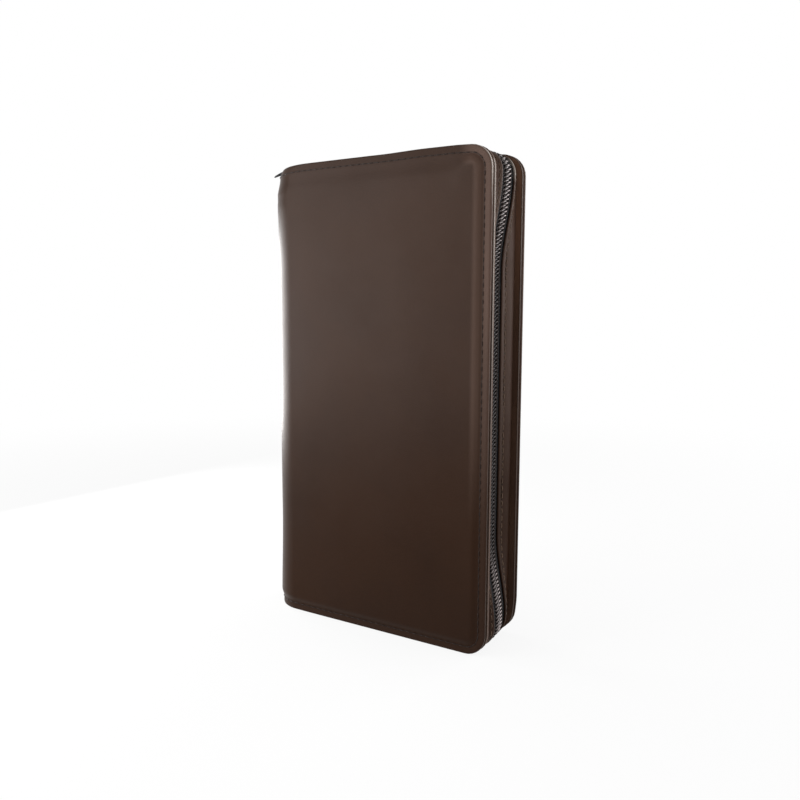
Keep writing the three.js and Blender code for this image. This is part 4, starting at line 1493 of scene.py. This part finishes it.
def bridge(form, middle, low, high):
    """The arch over the slider that holds the pull's bar."""
    half, bend, soft = (BRIDGE_LENGTH - BRIDGE_THICK) / 2, BRIDGE_BEND, BRIDGE_SOFT
    top = high - BRIDGE_THICK / 2
    way = [(-half, low - 0.3, 180), (-half, low + 0.2, 180)]
    way += [(x, z, 180 - t) for (x, z), t in zip(
        round_turn((-half + bend, top - bend), bend, 180, 90, 6), spread(6, 0, 90))]
    way += [(-x, z, 180 - turn) for x, z, turn in reversed(way)]
    sections = []
    for x, z, turn in way:
        out = (math.cos(math.radians(turn)), math.sin(math.radians(turn)))
        section = []
        for y, rise in ((-1, -1), (1, -1), (1, 1), (-1, 1)):
            for dy, dr in (((soft, 0), (0, soft)) if y * rise > 0 else ((0, soft), (soft, 0))):
                level = rise * (BRIDGE_THICK / 2 - dr)
                section.append(((middle + x + out[0] * level) * MM,
                                y * (BRIDGE_HALF - dy) * MM, (z + out[1] * level) * MM))
        sections.append(marked(section))
    form.loft(sections)


def pull():
    """The slider's pull: a bar under the bridge, two arms and a flat tongue with a hole."""
    form = Form()
    low, high = in_mm("pull_tab")
    base, end = low.x + PULL_BAR / 2, high.x
    rise = (low.z + high.z) / 2
    wide = BRIDGE_HALF + PULL_GAP
    reach = base + 6.15
    outline = [(base, wide + PULL_ARM), (reach + PULL_ARM, PULL_HALF)]
    outline += round_turn((end - PULL_HALF, 0), PULL_HALF, 90, -90, 25)
    outline += [(reach + PULL_ARM, -PULL_HALF), (base, -wide - PULL_ARM), (base, -wide)]
    soft = 0.9
    outline += round_turn((reach - soft, -wide + soft), soft, -90, 0, 6)
    outline += round_turn((reach - soft, wide - soft), soft, 0, 90, 6)
    outline += [(base, wide)]
    hole = round_turn((end - PULL_HALF, 0), PULL_HOLE, 0, 345, 24)
    form.stamped([outline, hole], rise - PULL_BAR / 2, rise + PULL_BAR / 2, 0.22)
    bar = [(base * MM, y * MM, rise * MM)
           for y in (-wide - PULL_ARM, -wide, 0, wide, wide + PULL_ARM)]
    form.strand(bar, [PULL_BAR / 2 * MM] * len(bar), sides=16)
    return form


TAB_LOW = HEIGHT + 0.1 * MM


def end_tab():
    """The folded end of the zip's tape, which hangs over the spine's top edge."""
    form = Form()
    low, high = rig.box("zip_end_tab")
    start, end = high.x, low.x
    half, thick = (high.y - low.y) / 2, high.z - TAB_LOW - 0.35 * MM
    bend = SPINE_X - OUTER_Y + 4 * MM
    sections = []
    for share in spread(15):
        x = start + (end - start) * share
        past = max((bend - x) / (bend - end), 0.0)
        z = TAB_LOW - (TAB_LOW - low.z) * past ** 1.6
        wide = half * (1 - 0.7 * past ** 1.3) * (1 - 0.5 * smooth((share - 0.94) / 0.06))
        deep = thick * (1 - 0.6 * past)
        section = [(wide, 0.25), (wide, 0.75), (wide * 0.9, 1.0), (0, 1.08), (-wide * 0.9, 1.0),
                   (-wide, 0.75), (-wide, 0.25), (-wide * 0.9, 0.0), (0, 0.0), (wide * 0.9, 0.0)]
        sections.append([((x, y, z + deep * level), (x, y, 1.0)) for y, level in section])
    form.loft(sections)
    return form


# Pockets on the inner leathers


def pocket_box(node):
    """The outline of a pocket, open at its top, and the level of the leather behind it. Along
    the outline runs the way down, and across it the way from the spine to the open side."""
    low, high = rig.box(node)
    side = -1 if low.y < 0 else 1
    shape = Outline(-high.z, -low.z, low.x, high.x, POCKET_ROUND)
    base = max(abs(low.y), abs(high.y))
    return shape, side, base


def shaped_sheet(shape, place, outer, inner, step):
    """A closed leather sheet. outer and inner list the inset and height of each ring, and
    place gives the point of a place along, across and high."""
    form = Form()
    edges = []
    for rings in (outer, inner):
        def point(k, inset, a, b, length):
            return place(a, b, rings[k][1]), (length, b, a - shape.start)
        edges.append(surface(form, shape, [inset for inset, _ in rings], step, point))
    form.skin([edges[0][0], edges[1][0]])
    form.skin([edges[0][1], edges[1][1]])
    return form


def sewn_pocket(node):
    """A slip pocket: flat along its sewn edges and risen between them."""
    shape, side, base = pocket_box(node)
    low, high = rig.box(node)
    deep = high.y - low.y
    seam, rise = 2.0 * MM, deep - POCKET_LEATHER
    outer = [(0.0, 0.6), (0.25 * MM, POCKET_LEATHER / MM), (1.0 * MM, 1.0), (seam, 1.0),
             (3.0 * MM, 1.0 + 0.35 * rise / MM), (4.2 * MM, 1.0 + 0.85 * rise / MM),
             (5.4 * MM, deep / MM)]
    inner = [(0.0, 0.1), (0.25 * MM, 0.0), (1.0 * MM, 0.0), (seam, 0.0),
             (3.0 * MM, 0.35 * rise / MM), (4.2 * MM, 0.85 * rise / MM), (5.4 * MM, rise / MM)]

    def place(a, b, height):
        slack = 0.12 * MM * height * waves((b, side, a), 30 * MM, 9.0)
        return b, side * (base - height * MM - slack * (height > 1.5)), -a

    return shaped_sheet(shape, place, outer, inner, 2.5 * MM), shape, side, base - POCKET_LEATHER


def passport_pocket():
    """A boxed pocket with rounded edges and a notch for the thumb."""
    shape, side, base = pocket_box("passport_pocket")
    low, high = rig.box("passport_pocket")
    deep = (high.y - low.y) / MM
    wall = POCKET_LEATHER / MM
    outer = [(0.0, 0.0), (0.0, 0.5 * deep), (0.0, deep - 1.6), (0.12, deep - 1.0),
             (0.5, deep - 0.35), (1.1, deep - 0.06), (1.8, deep), (4.0, deep)]
    inner = [(wall, 0.0), (wall, 0.5 * deep), (wall, deep - 2.0), (1.1, deep - 1.6),
             (1.4, deep - 1.2), (1.8, deep - wall - 0.02), (2.4, deep - wall), (4.0, deep - wall)]
    outer, inner = ([(inset * MM, height) for inset, height in rings]
                    for rings in (outer, inner))
    middle = (low.x + high.x) / 2

    def place(a, b, height):
        rise = math.sqrt(max(NOTCH_RADIUS ** 2 - (b - middle) ** 2, 0.0))
        notch = max(rise + NOTCH_DEPTH - NOTCH_RADIUS, 0.0) * (height > deep - 2)
        fade = max(1 - (a - shape.start) / (34 * MM), 0.0)
        return b, side * (base - height * MM), -a - notch * fade

    return shaped_sheet(shape, place, outer, inner, 1.0 * MM), shape, side, base - deep * MM


def card_slot(node):
    """One leather strip of the shingled card slots."""
    shape, side, base = pocket_box(node)
    outer = [(0.0, 0.45), (0.2 * MM, 0.76), (0.6 * MM, 0.8), (2.0 * MM, 0.8)]
    inner = [(0.0, 0.3), (0.2 * MM, 0.04), (0.6 * MM, 0.0), (2.0 * MM, 0.0)]

    def place(a, b, height):
        return b, side * (base - height * MM), -a

    return shaped_sheet(shape, place, outer, inner, 3.0 * MM), shape, side, base - CARD_LEATHER


SEAM_SINK = 0.05 * MM
SEAM_END = 0.6 * MM


def sew_pocket(form, shape, side, level, settings, reach=None):
    """Sews a pocket's side and bottom edges, or only their upper stretches as far as reach."""
    length = shape.length(POCKET_SEAM)

    def place(distance):
        a, b = shape.at(shape.station_at(distance, POCKET_SEAM), POCKET_SEAM)
        return (b, side * (level - SEAM_SINK), -a), (0, -side, 0)

    stretches = [(SEAM_END, length - SEAM_END)]
    if reach:
        stretches = [(SEAM_END, reach), (length - reach, length - SEAM_END)]
    for start, end in stretches:
        sew(form, place, end - start, settings, start)


def sew_across(form, shape, side, level, down, settings):
    """A row of stitches under a pocket's turned top edge."""
    start, end = shape.low + 4 * MM, shape.high - 4 * MM

    def place(distance):
        return (start + distance, side * (level - SEAM_SINK), -shape.start - down), (0, -side, 0)

    sew(form, place, end - start, settings)


def pen_loop():
    """A ring of ribbed elastic, flattened where it is sewn to the lining."""
    form = Form()
    low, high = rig.box("pen_loop")
    middle, radius = (low + high) / 2, (high.y - low.y) / 2
    wall, soft = 1.0 * MM, 0.3 * MM
    section = [(0.0, low.z + soft), (-soft, low.z), (soft - wall, low.z), (-wall, low.z + soft)]
    section += [(-wall, z) for z in spread(9, low.z + 3 * MM, high.z - 3 * MM)]
    section += [(-wall, high.z - soft), (soft - wall, high.z), (-soft, high.z),
                (0.0, high.z - soft)]
    section += [(0.0, z) for z in spread(9, high.z - 3 * MM, low.z + 3 * MM)]
    rows = []
    for t in spread(49)[:-1]:
        turn = 2 * math.pi * t + math.pi
        flat = smooth((-math.cos(turn) - 0.8) / 0.2)
        places = []
        for level, z in section:
            reach = radius + level - flat * 0.25 * MM
            x, y = middle.x + reach * math.cos(turn), middle.y + reach * math.sin(turn)
            places.append(((x, y, z), (turn * radius, z, 1.0)))
        rows.append(form.row(places))
    form.skin(rows + rows[:1], closed=True)
    return form


def dress(form, name, finish, body, *nodes, slot=None):
    """Makes a form's piece, which rides on a body in place of the nodes that it stands for."""
    made = form.piece(name, finish, slot)
    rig.ride(made, body)
    if nodes:
        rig.replaces(made, *nodes)


class ORGANIZER_OT_covers(bpy.types.Operator):
    """Build the outer leather of both covers"""

    bl_idname = "organizer.covers"
    bl_label = "Covers"

    def execute(self, context):
        cover = context.scene.organizer.cover
        for word, side in SIDES:
            dress(cover_skin(side, cover), f"{word}_cover_skin", "leather", word,
                  f"{word}_cover_leather")
        return {"FINISHED"}


class ORGANIZER_OT_spine(bpy.types.Operator):
    """Build the leather wrap of the spine and its lining, each in four flexing parts"""

    bl_idname = "organizer.spine"
    bl_label = "Spine"

    def execute(self, context):
        cover = context.scene.organizer.cover
        for part in PARTS:
            for name, node, finish, section in (
                    ("spine_skin", "spine_leather", "leather", wrap_section),
                    ("spine_lining_skin", "spine_lining", "lining_leather", lining_section)):
                form = Form()
                form.loft([section(u, cover) for u in wrap_stops(part)])
                made = form.piece(f"{name}_{part + 1}", finish)
                blend_part(made, part)
                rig.replaces(made, *part_nodes(node, part))
        return {"FINISHED"}


class ORGANIZER_OT_layers(bpy.types.Operator):
    """Build the core boards and inner leathers of both covers"""

    bl_idname = "organizer.layers"
    bl_label = "Cover layers"

    def execute(self, context):
        cover = context.scene.organizer.cover
        for word, side in SIDES:
            board = flat_sheet(COVER_PAST_LAP, BOARD_Y, BOARD_Y - BOARD_INNER_Y, side, cover,
                               BOARD_BEVEL, BOARD_INSET)
            dress(board, f"{word}_board", "board", word, f"{word}_core_board")
            lining = flat_sheet(COVER, LINING_Y, LINING_Y - LINING_INNER_Y, side, cover,
                                LINING_BEVEL)
            dress(lining, f"{word}_lining", "lining_leather", word, f"{word}_inner_leather")
        return {"FINISHED"}


class ORGANIZER_OT_gussets(bpy.types.Operator):
    """Build the folded leather walls between the covers and the zip"""

    bl_idname = "organizer.gussets"
    bl_label = "Gussets"

    def execute(self, context):
        for word, side in SIDES:
            dress(loft_along(gusset_section(), side, GUSSET_SLACK), f"{word}_gusset_skin",
                  "gusset_leather", word, f"{word}_gusset")
        return {"FINISHED"}


class ORGANIZER_OT_zip_tapes(bpy.types.Operator):
    """Build the woven tapes beside the coil"""

    bl_idname = "organizer.zip_tapes"
    bl_label = "Zip tapes"

    def execute(self, context):
        for word, side in SIDES:
            dress(loft_along(tape_section(), side), f"{word}_tape", "zip_tape", word,
                  f"{word}_zip_tape")
        return {"FINISHED"}


class ORGANIZER_OT_zip_coil(bpy.types.Operator):
    """Build the two rows of the zip's coil and the thread that binds them"""

    bl_idname = "organizer.zip_coil"
    bl_label = "Zip coil"

    def execute(self, context):
        settings = context.scene.organizer.zip
        for (word, side), offset in zip(SIDES, (0.0, 0.5)):
            dress(coil(side, offset, settings), f"{word}_coil", "zip_teeth", word,
                  f"{word}_zip_teeth")
            dress(coil_binding(side, offset), f"{word}_coil_binding", "thread", word,
                  slot="zip_tape")
        return {"FINISHED"}


class ORGANIZER_OT_zip_metal(bpy.types.Operator):
    """Build the stops, the slider and its pull"""

    bl_idname = "organizer.zip_metal"
    bl_label = "Zip metal"

    def execute(self, context):
        for node, body in (("front_top_stop", "front"), ("back_top_stop", "back"),
                           ("zip_bottom_stop", "back")):
            dress(stop(node), f"{node}_metal", "gunmetal", body, node)
        dress(slider(), "slider_metal", "gunmetal", "slider", "zip_slider")
        dress(pull(), "pull_metal", "gunmetal", "pull", "pull_tab")
        return {"FINISHED"}


class ORGANIZER_OT_end_tab(bpy.types.Operator):
    """Build the zip's end tab over the spine"""

    bl_idname = "organizer.end_tab"
    bl_label = "Zip end tab"

    def execute(self, context):
        dress(end_tab(), "end_tab_tape", "zip_tape", "spine_middle", "zip_end_tab")
        return {"FINISHED"}


class ORGANIZER_OT_pockets(bpy.types.Operator):
    """Build and sew the slip pocket, the ticket pocket and the passport pocket"""

    bl_idname = "organizer.pockets"
    bl_label = "Pockets"

    def execute(self, context):
        settings = context.scene.organizer.stitch
        for name, body in (("slip_pocket", "front"), ("ticket_pocket", "back"),
                           ("passport_pocket", "back")):
            boxed = name == "passport_pocket"
            sheet, shape, side, level = passport_pocket() if boxed else sewn_pocket(name)
            dress(sheet, f"{name}_skin", "pocket_leather", body, name)
            form = Form()
            sew_pocket(form, shape, side, level, settings)
            if not boxed:
                sew_across(form, shape, side, level - POCKET_RISE, HEM_DEPTH, settings)
            dress(form, f"{name}_thread", "thread", body, slot="pocket_leather")
        return {"FINISHED"}


class ORGANIZER_OT_card_slots(bpy.types.Operator):
    """Build and sew the shingled card slots"""

    bl_idname = "organizer.card_slots"
    bl_label = "Card slots"

    def execute(self, context):
        settings = context.scene.organizer.stitch
        for k in range(CARD_SLOTS):
            name = f"card_slot_{k + 1}"
            sheet, shape, side, level = card_slot(name)
            dress(sheet, f"{name}_skin", "pocket_leather", "front", name)
            form = Form()
            last = k == CARD_SLOTS - 1
            sew_pocket(form, shape, side, level, settings, None if last else CARD_SLOT_STEP)
            dress(form, f"{name}_thread", "thread", "front", slot="pocket_leather")
        return {"FINISHED"}


class ORGANIZER_OT_pen_loop(bpy.types.Operator):
    """Build the elastic pen loop"""

    bl_idname = "organizer.pen_loop"
    bl_label = "Pen loop"

    def execute(self, context):
        dress(pen_loop(), "pen_loop_band", "elastic", "spine_middle", "pen_loop")
        return {"FINISHED"}


class ORGANIZER_OT_stitches(bpy.types.Operator):
    """Sew the covers, the spine and the gussets"""

    bl_idname = "organizer.stitches"
    bl_label = "Stitches"

    def execute(self, context):
        cover = context.scene.organizer.cover
        settings = context.scene.organizer.stitch
        for word, side in SIDES:
            for name, seam, slot in (
                    ("cover", cover_seam(side, cover), "leather"),
                    ("gusset", wall_seam(side, GUSSET_STITCH), "gusset_leather")):
                form = Form()
                sew(form, *seam, settings)
                dress(form, f"{word}_{name}_thread", "thread", word, slot=slot)
        for part in PARTS:
            form = Form()
            low, high = (wrap_length(edge) for edge in PART_EDGES[part:part + 2])
            for z in (STITCH_INSET, HEIGHT - STITCH_INSET):
                sew(form, wrap_seam(z, cover), high - low, settings, low)
            blend_part(form.piece(f"spine_thread_{part + 1}", "thread", "leather"), part)
        return {"FINISHED"}


class ORGANIZER_OT_stage(bpy.types.Operator):
    """Set the floor, the soft lights and the camera"""

    bl_idname = "organizer.stage"
    bl_label = "Stage"

    def execute(self, context):
        stage = context.scene.organizer.stage
        scene = context.scene
        scene.view_settings.view_transform = "Standard"
        make_floor(stage)
        make_room(scene, stage)
        make_lights(stage)
        make_camera(scene, stage)
        return {"FINISHED"}


FLOOR_REACH = 6.0
FLOOR_WHITE = 0.88
WHITE_FROM, WHITE_FULL = 0.25, 0.8


def make_floor(stage):
    """A wide floor that shows white to the camera and keeps the object's shadow."""
    form = Form()
    corners = [(FLOOR_REACH * x, FLOOR_REACH * y, 0)
               for x, y in ((-1, -1), (1, -1), (1, 1), (-1, 1))]
    form.faces.append(tuple(form.row(marked(corners))))
    floor = form.piece("floor", "board")
    look = Finish("pale_floor")
    lit = look.node("ShaderNodeBsdfDiffuse", {"Color": tuple(stage.floor)}, output="BSDF")
    white = look.node("ShaderNodeEmission", {"Color": (1, 1, 1), "Strength": 1.0},
                      output="Emission")
    away = look.node("ShaderNodeVectorMath", {0: look.place()}, output="Value",
                     operation="LENGTH")
    share = FLOOR_WHITE + (1 - FLOOR_WHITE) * look.band(away, WHITE_FROM, WHITE_FULL)
    surface = look.node("ShaderNodeMixShader", {0: look.seen() * share, 1: lit, 2: white},
                        output="Shader")
    floor.data.materials.clear()
    floor.data.materials.append(look.out(surface))
    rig.stage(floor)


def make_room(scene, stage):
    """Even light from all round, white where it is seen or mirrored."""
    look = Finish("room", "worlds")
    strength = stage.room + look.seen() * (1 - stage.room)
    light = look.node("ShaderNodeBackground", {"Color": (1, 1, 1), "Strength": strength},
                      output="Background")
    scene.world = look.out(light, "World")


def make_lights(stage):
    """Softboxes round the object, by azimuth in degrees from the front, to the right. Each
    faces a point on the middle line at the aim's height."""
    for name, power, size, azimuth, height, distance, aim in (
            ("key_softbox", stage.key, (0.46, 0.50), -37, 0.26, 0.62, 0.26),
            ("front_softbox", stage.front, (0.16, 0.50), -2, 0.26, 0.80, 0.26),
            ("rim_softbox", stage.rim, (0.36, 0.17), -92, 0.128, 0.36, 0.128),
            ("fill_softbox", stage.fill, (0.60, 0.50), 116, 0.30, 0.8, 0.15),
            ("side_softbox", stage.side, (0.30, 0.50), 57, 0.30, 0.9, 0.15),
            ("back_softbox", stage.back, (0.40, 0.30), 153, 0.45, 1.0, 0.2),
            ("top_softbox", stage.top, (1.0, 1.0), 0, 1.30, 0.15, 0.0)):
        lamp = bpy.data.lights.new(name, "AREA")
        lamp.shape, lamp.energy = "RECTANGLE", power
        lamp.size, lamp.size_y = size
        made = bpy.data.objects.new(name, lamp)
        turn = math.radians(azimuth)
        made.location = (distance * math.sin(turn), -distance * math.cos(turn), height)
        way = Vector((0, 0, aim)) - made.location
        made.rotation_mode = "QUATERNION"
        made.rotation_quaternion = way.to_track_quat("-Z", "Y")
        made.visible_camera = False
        bpy.context.scene.collection.objects.link(made)


# The camera of the photograph, in the frame's metres and radians
CAMERA_PLACE = (0.228567, -0.337215, 0.160373)
CAMERA_AZIMUTH = 0.573
CAMERA_ELEVATION = 0.120
CAMERA_ROLL = 0.004


def make_camera(scene, stage):
    a, e, roll = CAMERA_AZIMUTH, CAMERA_ELEVATION, CAMERA_ROLL
    back = Vector((math.sin(a) * math.cos(e), -math.cos(a) * math.cos(e), math.sin(e)))
    right = Vector((math.cos(a), math.sin(a), 0))
    up = back.cross(right)
    across = right * math.cos(roll) + up * math.sin(roll)
    upward = up * math.cos(roll) - right * math.sin(roll)
    lens = bpy.data.cameras.new("camera")
    lens.lens = stage.lens
    lens.clip_start, lens.clip_end = 0.01, 20
    camera = bpy.data.objects.new("camera", lens)
    turn = Matrix((across, upward, back)).transposed().to_4x4()
    camera.matrix_world = Matrix.Translation(CAMERA_PLACE) @ turn
    scene.collection.objects.link(camera)
    scene.camera = camera


class ORGANIZER_PT_build(bpy.types.Panel):
    """Lists the pieces of the organizer"""

    bl_idname = "ORGANIZER_PT_build"
    bl_label = "Travel organizer"
    bl_space_type = "VIEW_3D"
    bl_region_type = "UI"
    bl_category = "Organizer"

    def draw(self, context):
        for operator in OPERATORS:
            self.layout.operator(operator.bl_idname)


OPERATORS = (
    ORGANIZER_OT_covers, ORGANIZER_OT_spine, ORGANIZER_OT_layers, ORGANIZER_OT_gussets,
    ORGANIZER_OT_zip_tapes, ORGANIZER_OT_zip_coil, ORGANIZER_OT_zip_metal, ORGANIZER_OT_end_tab,
    ORGANIZER_OT_pockets, ORGANIZER_OT_card_slots, ORGANIZER_OT_pen_loop, ORGANIZER_OT_stitches,
    ORGANIZER_OT_stage)
SETTINGS = (LeatherSettings, CoverSettings, StitchSettings, ZipSettings, StageSettings,
            OrganizerSettings)
CLASSES = (*SETTINGS, *OPERATORS, ORGANIZER_PT_build)


def register():
    for added in CLASSES:
        bpy.utils.register_class(added)
    bpy.types.Scene.organizer = PointerProperty(type=OrganizerSettings)


def unregister():
    del bpy.types.Scene.organizer
    for added in reversed(CLASSES):
        bpy.utils.unregister_class(added)


def main():
    cad_box = [list(corner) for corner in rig.bounds()]
    register()
    for operator in OPERATORS:
        group, name = operator.bl_idname.split(".")
        getattr(getattr(bpy.ops, group), name)()
    shown_box = [list(corner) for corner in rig.bounds()]
    with open(SIZE_FILE, "w") as file:
        json.dump({"cad": cad_box, "shown": shown_box}, file)


if __name__ == "__main__":
    main()
